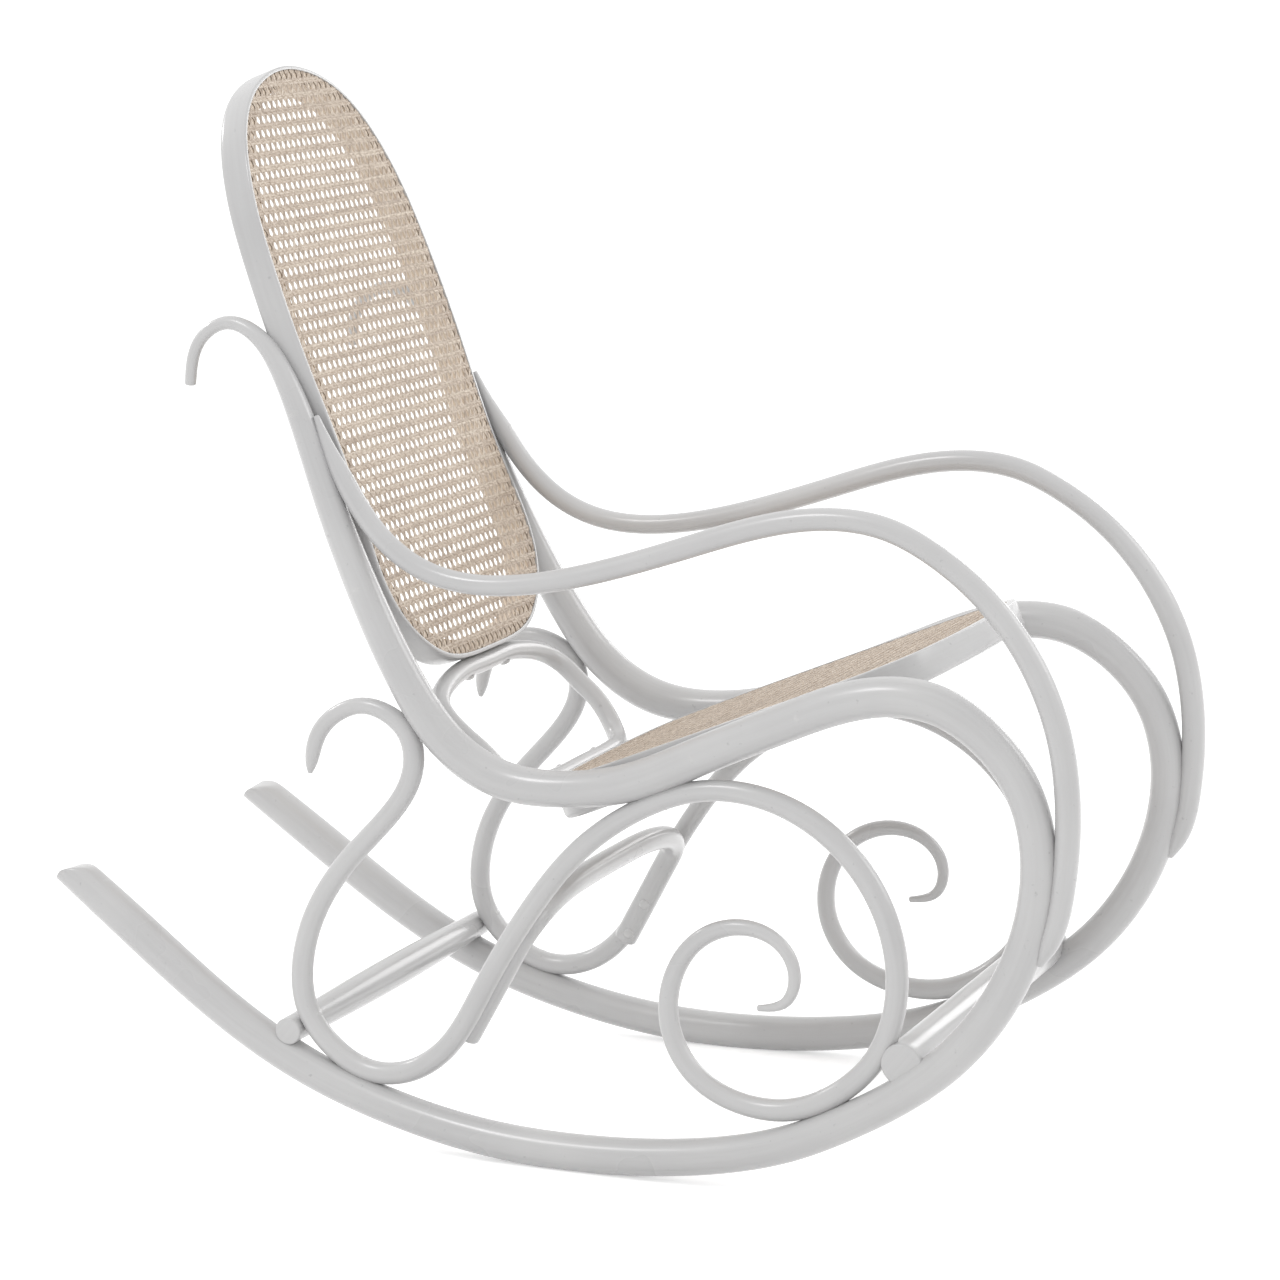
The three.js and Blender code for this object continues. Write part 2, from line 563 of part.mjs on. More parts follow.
const backOutline = hoopOutline(BACK_SHARES, BACK_LENGTH_SHARE, BACK_FOOT_SHARE, onBack);
const seatOutline = hoopOutline(SEAT_SHARES, SEAT_LENGTH_SHARE, SEAT_REAR_SHARE, onSeat);
const seatDepth = ({ v }) => {
  const along = (v / FRAME_SPAN - SEAT_REAR_SHARE) / SEAT_LENGTH_SHARE;
  return SEAT_RIM_DEPTH * THREE.MathUtils.lerp(1, SEAT_FRONT_SHARE, along);
};
stock.back_hoop = notched(rim(backOutline, BACK_CANE_INSET, () => BACK_RIM_DEPTH, onBack), bowGrown);
stock.seat_hoop = notched(rim(seatOutline, SEAT_CANE_INSET, seatDepth, onSeat), bowGrown);
stock.back_cane = cane(backOutline, BACK_CANE_INSET, onBack);
stock.seat_cane = cane(seatOutline, SEAT_CANE_INSET, onSeat);

// The ring's two bars touch the outer walls of the back's foot and of the seat's rear rail.
const beyond = RING_RADIUS + CLEAR;
const ringTop = onBack(0, BACK_FOOT_SHARE * FRAME_SPAN - beyond, BACK_RIM_DEPTH / 2);
const ringFoot = onSeat(0, SEAT_REAR_SHARE * FRAME_SPAN - beyond, RING_FOOT_DEPTH);
const ringRun = ringFoot.clone().sub(ringTop);
const ringHalf = RING_SHARES.map(([across, drop, run]) => [
  ringTop.x + run * ringRun.x,
  across * HALF_SPREAD,
  ringTop.z + drop * ringRun.z,
]);
const ringSquare = V3(-ringRun.z, 0, ringRun.x).normalize();
stock.link_ring = notched(mirroredRod(ringHalf, RING_RADIUS, RING_TURN_DEG, ringSquare, true), bowGrown);

const braceHalf = BRACE_SHARES.map(([forward, up, across]) => {
  const x = forward * FRAME_SPAN;
  const z = up * FRAME_SPAN;
  return V3(x, -across * (halfAt(x, z) - BRACE_BESIDE), z);
});
const braceRun = braceHalf.at(-1).clone().sub(braceHalf[0]);
const braceSquare = V3(-braceRun.z, 0, braceRun.x).normalize();
stock.under_brace = notched(
  mirroredRod(braceHalf.map((p) => p.toArray()), BRACE_RADIUS, RING_TURN_DEG, braceSquare, false),
  scrollGrown,
);

const frontProfile = [[FRONT_MIDDLE_SHARE, FRONT_BAR_RADIUS], [1, FRONT_BAR_RADIUS]];
const swell = REAR_BAR_BELLY - REAR_BAR_END;
const rearProfile = REAR_BELLY_SHARES.map(([share, part]) => [share, REAR_BAR_END + swell * part]);
const frontBar = turnedBar(FRONT_BAR_SHARES, FRONT_BAR_PROUD, frontProfile);
const rearBar = turnedBar(REAR_BAR_SHARES, REAR_BAR_PROUD, rearProfile);
stock.front_stretcher = notched(frontBar, bowGrown, scrollGrown);
stock.rear_stretcher = notched(rearBar, bowGrown, scrollGrown);

// A screw, or with a clearance the hole for it: its axis is Y and its head's seat lies at zero.
function screwBody(length, grow) {
  const top = grow > 0 ? SCREW_HEAD : SCREW_DOME;
  const shank = SCREW_SHANK + grow;
  const brim = SCREW_HEAD + grow;
  const neck = [[0, -length - grow], [shank, -length - grow], [shank, -grow], [brim, -grow]];
  const dome = DOME_SHARES.map(([out, up]) => [brim * out, top * up]);
  const head = grow > 0 ? [[brim, top]] : dome;
  const points = [...neck, ...head, [0, top]].map(([radius, at]) => new THREE.Vector2(radius, at));
  return facingOut(new THREE.LatheGeometry(points, SCREW_SIDES));
}

// Drives a screw and its mirror image from a place on the surface of the first piece, through that
// piece and into the second.
const screws = {};
const SIDE_PIECES = ["main_bow", "scroll", "arm"];
function drive(name, surface, into, through, first, second, sink = SCREW_SINK) {
  const way = into.clone().normalize();
  const length = through - sink + SCREW_BITE;
  const seat = surface.clone().addScaledVector(way, sink);
  const turn = new THREE.Quaternion().setFromUnitVectors(V3(0, -1, 0), way);
  const place = new THREE.Matrix4().compose(seat, turn, V3(1, 1, 1));
  const hole = solid(screwBody(length, CLEAR).applyMatrix4(place));
  [first, second].forEach((piece) => {
    stock[piece] = stock[piece].subtract(hole);
    if (!SIDE_PIECES.includes(piece)) stock[piece] = stock[piece].subtract(hole.mirror([0, 1, 0]));
  });
  screws[name] = solid(screwBody(length, 0).applyMatrix4(place));
}

// Screws from outside the bow straight across into a hoop.
function driveAcross(names, shares, hoop) {
  placesOf(shares).forEach((place, i) => {
    const [s, t, r] = nearest(bowLine, place);
    drive(names[i], onSide(s, t, r), sideNormal, 2 * r, "main_bow", hoop);
  });
}
driveAcross(["back_screw_low", "back_screw_high"], BACK_SCREWS_SHARES, "back_hoop");
driveAcross(["seat_screw_rear", "seat_screw_front"], SEAT_SCREWS_SHARES, "seat_hoop");

// Screws in the side's plane: from the free side of one bend through it into the next.
function driveBetween(name, first, from, second, to) {
  const a = onSide(from[0], from[1]);
  const into = onSide(to[0], to[1]).sub(a).normalize();
  const surface = a.clone().addScaledVector(into, -from[2]);
  drive(name, surface, into, 2 * from[2], first, second);
}
placesOf(ARM_SCREWS_SHARES).forEach((place, i) => {
  const from = nearest(armLine, place);
  driveBetween(["arm_screw_top", "arm_screw_foot"][i], "arm", from, "main_bow", nearest(bowLine, from));
});
placesOf(SCROLL_SCREWS_SHARES).forEach((place, i) => {
  const from = nearest(scrollLine, place);
  const name = ["scroll_screw_hook", "scroll_screw_rear", "scroll_screw_arch", "scroll_screw_circle"][i];
  driveBetween(name, "scroll", from, "main_bow", nearest(bowLine, from));
});
const [rearPlace, frontPlace] = placesOf([REAR_BAR_SHARES, FRONT_BAR_SHARES]);
driveBetween("rear_stretcher_screw", "scroll", nearest(scrollLine, rearPlace), "rear_stretcher", rearPlace);
const frontNear = nearest(bowLine, frontPlace);
driveBetween("front_stretcher_screw", "main_bow", frontNear, "front_stretcher", frontPlace);

// Screws from inside the brace's legs into the scroll.
BRACE_SCREWS_SHARES.forEach((share, i) => {
  const centre = braceHalf[0].clone().lerp(braceHalf[1], share);
  const line = nearest(scrollLine, [centre.x, centre.z]);
  const into = onSide(line[0], line[1]).sub(centre).normalize();
  const surface = centre.clone().addScaledVector(into, -BRACE_RADIUS);
  const name = ["brace_screw_low", "brace_screw_high"][i];
  drive(name, surface, into, 2 * BRACE_RADIUS, "under_brace", "scroll", PROUD_SINK);
});

// Screws through the ring into the middle of the back's foot and of the seat's rear rail.
const ringAcross = -HALF_SPREAD * RING_SCREW_SHARE;
const footHeart = onBack(0, BACK_FOOT_SHARE * FRAME_SPAN + RIM_WIDTH / 2, BACK_RIM_DEPTH / 2);
const railHeart = onSeat(0, SEAT_REAR_SHARE * FRAME_SPAN + RIM_WIDTH / 2, SEAT_RIM_DEPTH / 2);
const ringSeats = [[ringTop, footHeart, "back_hoop"], [ringFoot, railHeart, "seat_hoop"]];
ringSeats.forEach(([middle, heart, piece], i) => {
  const into = heart.clone().sub(middle).normalize();
  const surface = V3(middle.x, ringAcross, middle.z).addScaledVector(into, -RING_RADIUS);
  const name = ["ring_screw_top", "ring_screw_foot"][i];
  drive(name, surface, into, 2 * RING_RADIUS, "link_ring", piece, PROUD_SINK);
});

// Colours, and one named mesh for each piece.
const PAINT = { color: 0xd6d3d2, roughness: 0.42, metalness: 0 };
const CANE = { color: 0xd8bd98, roughness: 0.7, metalness: 0 };
const chair = new THREE.Group();
chair.name = "rocking_chair";
const all = [];
const add = (name, manifold, look) => all.push({ name, manifold, look });
Object.entries(stock).forEach(([name, manifold]) => {
  const look = name.endsWith("cane") ? CANE : PAINT;
  if (SIDE_PIECES.includes(name)) {
    add(name + "_right", manifold, look);
    add(name + "_left", manifold.mirror([0, 1, 0]), look);
  } else add(name, manifold, look);
});
Object.entries(screws).forEach(([name, manifold]) => {
  add(name + "_right", manifold, PAINT);
  add(name + "_left", manifold.mirror([0, 1, 0]), PAINT);
});

// The floor is at height zero, and the chair's box is centred over the origin.
const lows = all.map(({ manifold }) => manifold.boundingBox().min[0]);
const highs = all.map(({ manifold }) => manifold.boundingBox().max[0]);
const centreX = (Math.min(...lows) + Math.max(...highs)) / 2;
all.forEach(({ name, manifold, look }) => {
  const g = geometry(manifold.translate([-centreX, 0, -floorZ]));
  g.computeVertexNormals();
  const mesh = new THREE.Mesh(g, new THREE.MeshStandardMaterial(look));
  mesh.name = name;
  chair.add(mesh);
});

export default chair;
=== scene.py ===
"""Looks of the bentwood rocking chair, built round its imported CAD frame.

Metres, Z up, the chair faces +X. Every bend is swept along the same curve as its CAD solid, only
finer, and the two plain nets are replaced by woven cane.
"""

import math

import bmesh
import bpy
import numpy as np
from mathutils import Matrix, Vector


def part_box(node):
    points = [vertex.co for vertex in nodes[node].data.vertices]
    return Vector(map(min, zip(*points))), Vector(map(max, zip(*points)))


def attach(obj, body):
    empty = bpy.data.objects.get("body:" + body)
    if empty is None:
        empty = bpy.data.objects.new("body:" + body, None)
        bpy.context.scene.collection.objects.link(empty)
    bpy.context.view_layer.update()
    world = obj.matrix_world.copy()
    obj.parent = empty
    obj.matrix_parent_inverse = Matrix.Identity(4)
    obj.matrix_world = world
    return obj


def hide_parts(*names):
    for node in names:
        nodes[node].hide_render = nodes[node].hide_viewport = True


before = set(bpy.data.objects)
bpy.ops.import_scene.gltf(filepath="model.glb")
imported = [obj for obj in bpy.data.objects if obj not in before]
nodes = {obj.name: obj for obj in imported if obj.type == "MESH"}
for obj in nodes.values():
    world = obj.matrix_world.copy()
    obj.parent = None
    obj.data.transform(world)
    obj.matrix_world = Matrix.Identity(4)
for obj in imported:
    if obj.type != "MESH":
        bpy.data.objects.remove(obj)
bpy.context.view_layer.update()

# Sizes of the frame, the same as in the CAD source.
HALF_SPREAD = 0.235
LEAN = math.radians(3)
TOE = math.radians(1.6)

# Side bends: forward, up, half thickness.
BOW = [
    (-0.68, 0.234, 0.0165), (-0.573, 0.156, 0.0183), (-0.484, 0.093, 0.018),
    (-0.4, 0.047, 0.0175), (-0.3, 0.013, 0.017), (-0.2, -0.005, 0.0172),
    (-0.1, -0.0085, 0.0176), (0, 0, 0.0173), (0.1, 0.025, 0.017),
    (0.148, 0.0475, 0.017), (0.2, 0.078, 0.017), (0.25, 0.118, 0.017),
    (0.288, 0.166, 0.017), (0.314, 0.221, 0.017), (0.3255, 0.28, 0.0168),
    (0.322, 0.33, 0.0168), (0.307, 0.37, 0.0168), (0.278, 0.406, 0.0172),
    (0.222, 0.438, 0.0182), (0.16, 0.438, 0.0185), (0.08, 0.409, 0.018),
    (0, 0.373, 0.018), (-0.07, 0.343, 0.018), (-0.137, 0.332, 0.0172),
    (-0.195, 0.336, 0.018), (-0.245, 0.361, 0.018), (-0.29, 0.413, 0.0175),
    (-0.3355, 0.4935, 0.016), (-0.3735, 0.5765, 0.0145), (-0.4045, 0.654, 0.0125),
    (-0.4275, 0.7025, 0.0105), (-0.452, 0.7345, 0.0085), (-0.487, 0.748, 0.0065),
    (-0.516, 0.729, 0.006), (-0.525, 0.688, 0.0055),
]
ARM = [
    (-0.392, 0.664, 0.003), (-0.378, 0.634, 0.0065), (-0.362, 0.606, 0.0095),
    (-0.345, 0.58, 0.0098), (-0.32, 0.552, 0.0098), (-0.287, 0.53, 0.0098),
    (-0.245, 0.518, 0.0098), (-0.2, 0.517, 0.0098), (-0.141, 0.526, 0.0101),
    (-0.067, 0.5465, 0.0104), (-0.019, 0.5625, 0.0105), (0.05, 0.585, 0.0106),
    (0.126, 0.597, 0.0105), (0.175, 0.591, 0.0106), (0.2185, 0.5715, 0.0106),
    (0.258, 0.544, 0.011), (0.29, 0.512, 0.0113), (0.32, 0.4675, 0.0117),
    (0.339, 0.422, 0.0117), (0.349, 0.373, 0.0117), (0.3515, 0.323, 0.0115),
    (0.3485, 0.28, 0.0112), (0.3425, 0.248, 0.011), (0.335, 0.228, 0.0095), (0.328, 0.2125, 0.005),
]
SCROLL = [
    (-0.3945, 0.3275, 0.0025), (-0.3935, 0.3345, 0.0052), (-0.3915, 0.348, 0.0074),
    (-0.3845, 0.3675, 0.008), (-0.3675, 0.385, 0.008), (-0.338, 0.395, 0.008),
    (-0.311, 0.3875, 0.009), (-0.294, 0.3735, 0.01), (-0.287, 0.355, 0.0103),
    (-0.291, 0.325, 0.0101), (-0.309, 0.296, 0.01),
    (-0.352, 0.248, 0.0102), (-0.384, 0.2, 0.0104), (-0.399, 0.152, 0.0105),
    (-0.395, 0.102, 0.0105), (-0.368, 0.067, 0.0105), (-0.328, 0.047, 0.0105),
    (-0.286, 0.051, 0.0105), (-0.247, 0.0785, 0.0102), (-0.213, 0.1345, 0.0102),
    (-0.165, 0.216, 0.0102), (-0.118, 0.275, 0.0102), (-0.062, 0.317, 0.01),
    (0, 0.341, 0.01), (0.062, 0.34, 0.0103), (0.121, 0.3155, 0.0109),
    (0.168, 0.2695, 0.0109), (0.1925, 0.2145, 0.0107), (0.1955, 0.163, 0.0105),
    (0.1795, 0.1135, 0.0105), (0.1455, 0.077, 0.0105), (0.1, 0.0555, 0.0105),
    (0.052, 0.055, 0.01), (0.0045, 0.0765, 0.0098), (-0.0215, 0.1165, 0.0095),
    (-0.022, 0.162, 0.009), (0.002, 0.202, 0.0085), (0.044, 0.219, 0.0077),
    (0.082, 0.208, 0.0066), (0.098, 0.18, 0.006), (0.09, 0.154, 0.005), (0.064, 0.146, 0.003),
]
# The bow's rear tip: its path's first place, the dome over it, and how softly the dome cuts in.
TIP_START = -0.654
TIP_DOME = [
    (-0.666, 0.2048), (-0.6596, 0.2104), (-0.6375, 0.2167), (-0.6275, 0.2161), (-0.6198, 0.2129),
    (-0.6121, 0.2067),
]
TIP_CLEAR = [(-0.6, 0.212), (-0.58, 0.24)]  # past the dome, above the rod
TIP_SOFT = 0.0012

# Hoops: lateral place as a share of the way to a side's plane, and place along the hoop.
BACK_LENGTH = 0.6
BACK_FOOT = 0.449
BACK_FRONT = 0.13
BACK_RECLINE = math.radians(21.1)
BACK = [
    (0, 0), (0.293, 0.002), (0.514, 0.016), (0.71, 0.053), (0.841, 0.1), (0.909, 0.155),
    (0.922, 0.21), (0.907, 0.29), (0.914, 0.387), (0.955, 0.493), (0.984, 0.6),
    (0.985, 0.692), (0.956, 0.782), (0.883, 0.85), (0.735, 0.918), (0.521, 0.965),
    (0.265, 0.991), (0, 1),
]
SEAT_LENGTH = 0.432
SEAT_REAR = -0.206
SEAT_TOP = 0.394
SEAT_SLOPE = math.radians(22.3)
SEAT = [
    (0, 0), (0.264, 0.004), (0.476, 0.016), (0.658, 0.04), (0.759, 0.075), (0.83, 0.125),
    (0.884, 0.2), (0.915, 0.3), (0.93, 0.43), (0.932, 0.6), (0.926, 0.75), (0.891, 0.86),
    (0.772, 0.935), (0.521, 0.978), (0.24, 0.996), (0, 1),
]
RIM_WIDTH = 0.019
BACK_RIM_DEPTH = 0.030
SEAT_RIM_DEPTH = 0.040
SEAT_FRONT_SHARE = 0.7  # depth of the seat's front rail, of the rear rail's depth
BACK_LIP = 0.004
SEAT_LIP = 0.009
REBATE = 0.0023
FACE_EASE = 0.0018  # reach of each rounded edge of a hoop, from the face inwards and to the rear
LIP_EASE = 0.0006
WALL_EASE = 0.001
REAR_INNER_EASE = 0.003
REAR_OUTER_EASE = 0.006
BARE_REACH = 0.0012  # how far the inner wall's bare wood reaches into its rounded edges

# Ring and brace.
RING_RADIUS = 0.0095
RING_CLEAR = 0.0003
RING_FOOT_DEPTH = 0.003
RING = [
    (0, 0, 0), (0.24, 0, 0), (0.42, 0.055, 0.03), (0.535, 0.125, 0.078), (0.6, 0.206, 0.145),
    (0.63, 0.319, 0.26), (0.63, 0.451, 0.393), (0.622, 0.605, 0.565), (0.6, 0.789, 0.718),
    (0.566, 0.93, 0.823), (0.503, 1, 0.909), (0.39, 1, 0.98), (0.24, 1, 1), (0, 1, 1),
]
BRACE_RADIUS = 0.0118
BRACE_BESIDE = 0.0175
BRACE = [
    (-0.2335, 0.086, 1), (-0.209, 0.131, 1), (-0.1895, 0.167, 1), (-0.181, 0.183, 0.99),
    (-0.175, 0.197, 0.905), (-0.1725, 0.2075, 0.73), (-0.173, 0.2125, 0.49), (-0.175, 0.2128, 0.22),
    (-0.1755, 0.2128, 0),
]

# Stretchers.
FRONT_BAR = (0.205, 0.11)
FRONT_RADIUS = 0.0195
FRONT_PROUD = 0.009
REAR_BAR = (-0.409, 0.0795)
REAR_END = 0.013
REAR_BELLY = 0.016
REAR_PROUD = 0.014
REAR_BELLY_SHARES = [(0, 1), (0.25, 0.92), (0.5, 0.65), (0.75, 0.25), (0.9, 0), (1, 0)]
BAR_EASE = 0.002

# Screws: radius of the head and the shank, and rise of the dome.
SCREW_HEAD = 0.0055
SCREW_SHANK = 0.0022
SCREW_DOME = 0.0026
PROUD_DOME = 0.0034  # on the ring and the brace
DOME_EDGE_SHARE = 0.2  # part of the dome's rise that is its upright edge
DOME_TURN = math.pi / 2 * 0.94
SCREW_POINT = 0.004  # length of the tapered end
SCREW_TIP_SHARE = 0.4  # radius of its tip, of the shank's

# Cane: cells across and along, and a strand's size.
CELL_ACROSS = 0.0114
CELL_ALONG = 0.0135
PAIR_OFFSET = 0.0014
STRAND_WIDE = 0.00295
STRAND_THICK = 0.0004
WEAVE_STEP = 0.0005  # rise from one layer of the weave to the next
WEAVE_FLOOR = 0.0019  # depth of the lowest layer under the hoop's face
CANE_GAP = 0.0004
STRAND_SECTION = [(-0.5, 0), (-0.32, 1), (0.32, 1), (0.5, 0)]  # shares of width and thickness
SHORTEST_STRAND = 0.002
CROSSING_CLEAR = 1e-4  # from a strand's end to its first crossing
TONE_STEP = 0.0173  # along the cane's noise, from one strand to the next
EDGE_STEP = 0.0007  # and from one face of a strand to the next

# How finely pieces are cut.
STATION = 0.005
ROD_SIDES = 24
BOW_SIDES = 40
TIP_FINER = 4  # stations at the tip, for each station elsewhere
LATHE_SIDES = 48
CAP = [(0.12, 0.97), (0.24, 0.87), (0.33, 0.7), (0.39, 0.42)]  # reach and radius of an eased end
SMOOTH_BELOW = math.radians(38)
FEWEST_STATIONS = 8
ROD_SAMPLES = 40  # of a fair curve, for each of its rows
LOOP_SAMPLES = 30
HOOP_SAMPLES = 80
TIP_SAMPLES = 60  # of a whole curve
BAR_SAMPLES = 24
EASE_STEPS = 5
DOME_STEPS = 8
HAIR = 1e-5  # slack when two equal places are compared

# Camera.
CAMERA_FROM_SIDE_ORIGIN = Vector((1.3844, -3.9845, 1.195))
CAMERA_WAY = Vector((-0.351645, 0.919582, -0.175256))
SENSOR = 36.0
LENS = 126.5625
CLIP_START = 0.05
CLIP_END = 100

# Studio: each lamp's place, aim, side and watts; then strengths for light and where seen.
LAMPS = {
    "key": ((-1.4, -2.2, 3.4), (0, 0, 0.5), 0.8, 22),
    "edge": ((-3.2, 0.6, 2.4), (0, 0, 0.5), 0.4, 14),
    "back": ((0.75, 3.2, 1.35), (0, 0, 0.3), 1.1, 9),
    "fill": ((3.0, 1.5, 2.4), (0, 0, 0.5), 1.6, 20),
}
WORLD_LIT, WORLD_SEEN = 0.97, 1.0
FLOOR_LIT, FLOOR_SEEN = 0.0, 0.47
FLOOR_TONE = 0.85
FLOOR_ROUGHNESS = 0.9
FLOOR_REACH = 40.0
FLOOR_DROP = 0.0002
WHITE = (1, 1, 1)
BLACK = (0, 0, 0)


# --- Places ---------------------------------------------------------------------------------

def turn_x(angle):
    """The matrix of a turn about X."""
    c, s = math.cos(angle), math.sin(angle)
    return np.array([[1, 0, 0], [0, c, -s], [0, s, c]])


def turn_z(angle):
    """The matrix of a turn about Z."""
    c, s = math.cos(angle), math.sin(angle)
    return np.array([[c, -s, 0], [s, c, 0], [0, 0, 1]])


zero = np.array(0.0)  # a place on an axis, for the functions that take arrays
SIDE_TURN = turn_z(-TOE) @ turn_x(-LEAN)
SIDE_NORMAL = SIDE_TURN @ np.array([0.0, 1.0, 0.0])


def on_side(s, t):
    """Places of the right-hand side's plane, measured from the sides' middle origin."""
    flat = np.stack([s, np.zeros_like(s), t], axis=-1)
    return flat @ SIDE_TURN.T + np.array([0, -HALF_SPREAD, 0])


def half_at(x, z):
    """Distance from the middle plane to a side's plane."""
    return HALF_SPREAD + (SIDE_NORMAL[0] * x + SIDE_NORMAL[2] * z) / SIDE_NORMAL[1]


# The frame's shift is read from the front stretcher, whose place in the side's plane is known.
bar_low, bar_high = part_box("front_stretcher")
bar_middle = (np.array(bar_low) + np.array(bar_high)) / 2
SHIFT = bar_middle - on_side(np.array(FRONT_BAR[0]), np.array(FRONT_BAR[1]))
SHIFT[1] = 0


def on_back(across, along, depth):
    """Places on the back hoop, measured in its own plane and behind its face."""
    return np.stack([
        -BACK_FRONT - along * math.sin(BACK_RECLINE) - depth * math.cos(BACK_RECLINE),
        across + 0 * along,
        along * math.cos(BACK_RECLINE) - depth * math.sin(BACK_RECLINE),
    ], axis=-1)


def on_seat(across, along, depth):
    """Places on the seat hoop, measured in its own plane and under its face."""
    return np.stack([
        along * math.cos(SEAT_SLOPE) + depth * math.sin(SEAT_SLOPE),
        across + 0 * along,
        SEAT_TOP + along * math.sin(SEAT_SLOPE) - depth * math.cos(SEAT_SLOPE),
    ], axis=-1)


def fair_curve(points, steps, closed=False):
    """Natural cubic splines over chord length, sampled evenly."""
    pts = np.array(points, float)
    if closed:
        pts = np.vstack([pts[-4:], pts, pts[:5]])
    n = len(pts)
    at = np.r_[0, np.cumsum(np.linalg.norm(np.diff(pts, axis=0), axis=1))]
    h = np.diff(at)
    system = np.eye(n)
    right = np.zeros_like(pts)
    for i in range(1, n - 1):
        system[i, i - 1:i + 2] = h[i - 1], 2 * (h[i - 1] + h[i]), h[i]
        right[i] = 6 * ((pts[i + 1] - pts[i]) / h[i] - (pts[i] - pts[i - 1]) / h[i - 1])
    bend = np.linalg.solve(system, right)
    start, end = (at[4], at[4 + len(points)]) if closed else (at[0], at[-1])
    u = np.linspace(start, end, steps + 1)
    i = np.clip(np.searchsorted(at, u), 1, n - 1)
    a = ((at[i] - u) / h[i - 1])[:, None]
    b = 1 - a
    cubic = (a ** 3 - a) * bend[i - 1] + (b ** 3 - b) * bend[i]
    return a * pts[i - 1] + b * pts[i] + cubic * (h[i - 1] ** 2)[:, None] / 6


def evenly(dense, spacing, closed=False):
    """The same curve with stations at an even distance."""
    run = np.r_[0, np.cumsum(np.linalg.norm(np.diff(dense[:, :2], axis=0), axis=1))]
    count = max(FEWEST_STATIONS, int(round(run[-1] / spacing)))
    at = np.linspace(0, run[-1], count + 1)
    if closed:
        at = at[:-1]
    return np.stack([np.interp(at, run, dense[:, k]) for k in range(dense.shape[1])], axis=1)


# --- Meshes ---------------------------------------------------------------------------------

def add_piece(name, verts, faces, uvs, material, slot, node):
    """Makes one named piece in a node's place, with its own lengths in metres as its UV map."""
    mesh = bpy.data.meshes.new(name)
    mesh.from_pydata(np.asarray(verts).tolist(), [], faces)
    layer = mesh.uv_layers.new(name="along")
    layer.data.foreach_set("uv", np.asarray(uvs, dtype=np.float32).ravel())
    mesh.shade_smooth()
    mesh.set_sharp_from_angle(angle=SMOOTH_BELOW)
    mesh.materials.append(material)
    piece = bpy.data.objects.new(name, mesh)
    bpy.context.scene.collection.objects.link(piece)
    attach(piece, "root")
    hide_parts(node)
    return piece


def grid_faces(rows, cols, wrap_rows):
    """Quads of a tube of rows and columns, and the UV cell of each corner."""
    last = rows if wrap_rows else rows - 1
    i, j = np.meshgrid(np.arange(last), np.arange(cols), indexing="ij")
    i, j = i.ravel(), j.ravel()
    ni, nj = (i + 1) % rows, (j + 1) % cols
    quads = np.stack([i * cols + j, i * cols + nj, ni * cols + nj, ni * cols + j], axis=1)
    cells = np.stack([
        np.stack([i, j], 1), np.stack([i, j + 1], 1),
        np.stack([i + 1, j + 1], 1), np.stack([i + 1, j], 1),
    ], axis=1)
    return quads, cells


def lengths(points, closed):
    """Length run so far at each point of a line."""
    step = np.linalg.norm(np.diff(points, axis=0), axis=1)
    run = np.r_[0, np.cumsum(step)]
    if closed:
        run = np.r_[run, run[-1] + np.linalg.norm(points[0] - points[-1])]
    return run


def facing(verts, quads, middles):
    """Above zero where quads look away from their middles."""
    corners = verts[quads[:, 0]]
    turn = np.cross(verts[quads[:, 1]] - corners, verts[quads[:, 3]] - corners)
    return np.einsum("ij,ij->i", corners - middles, turn).sum()


def turned_over(faces, uvs):
    """The same faces, looking the other way."""
    out, start = [], 0
    for face in faces:
        out += uvs[start:start + len(face)][::-1]
        start += len(face)
    return [face[::-1] for face in faces], out


def mirrored(verts, faces, uvs):
    """The mirror image across the middle plane."""
    return verts * np.array([1, -1, 1]), *turned_over(faces, uvs)


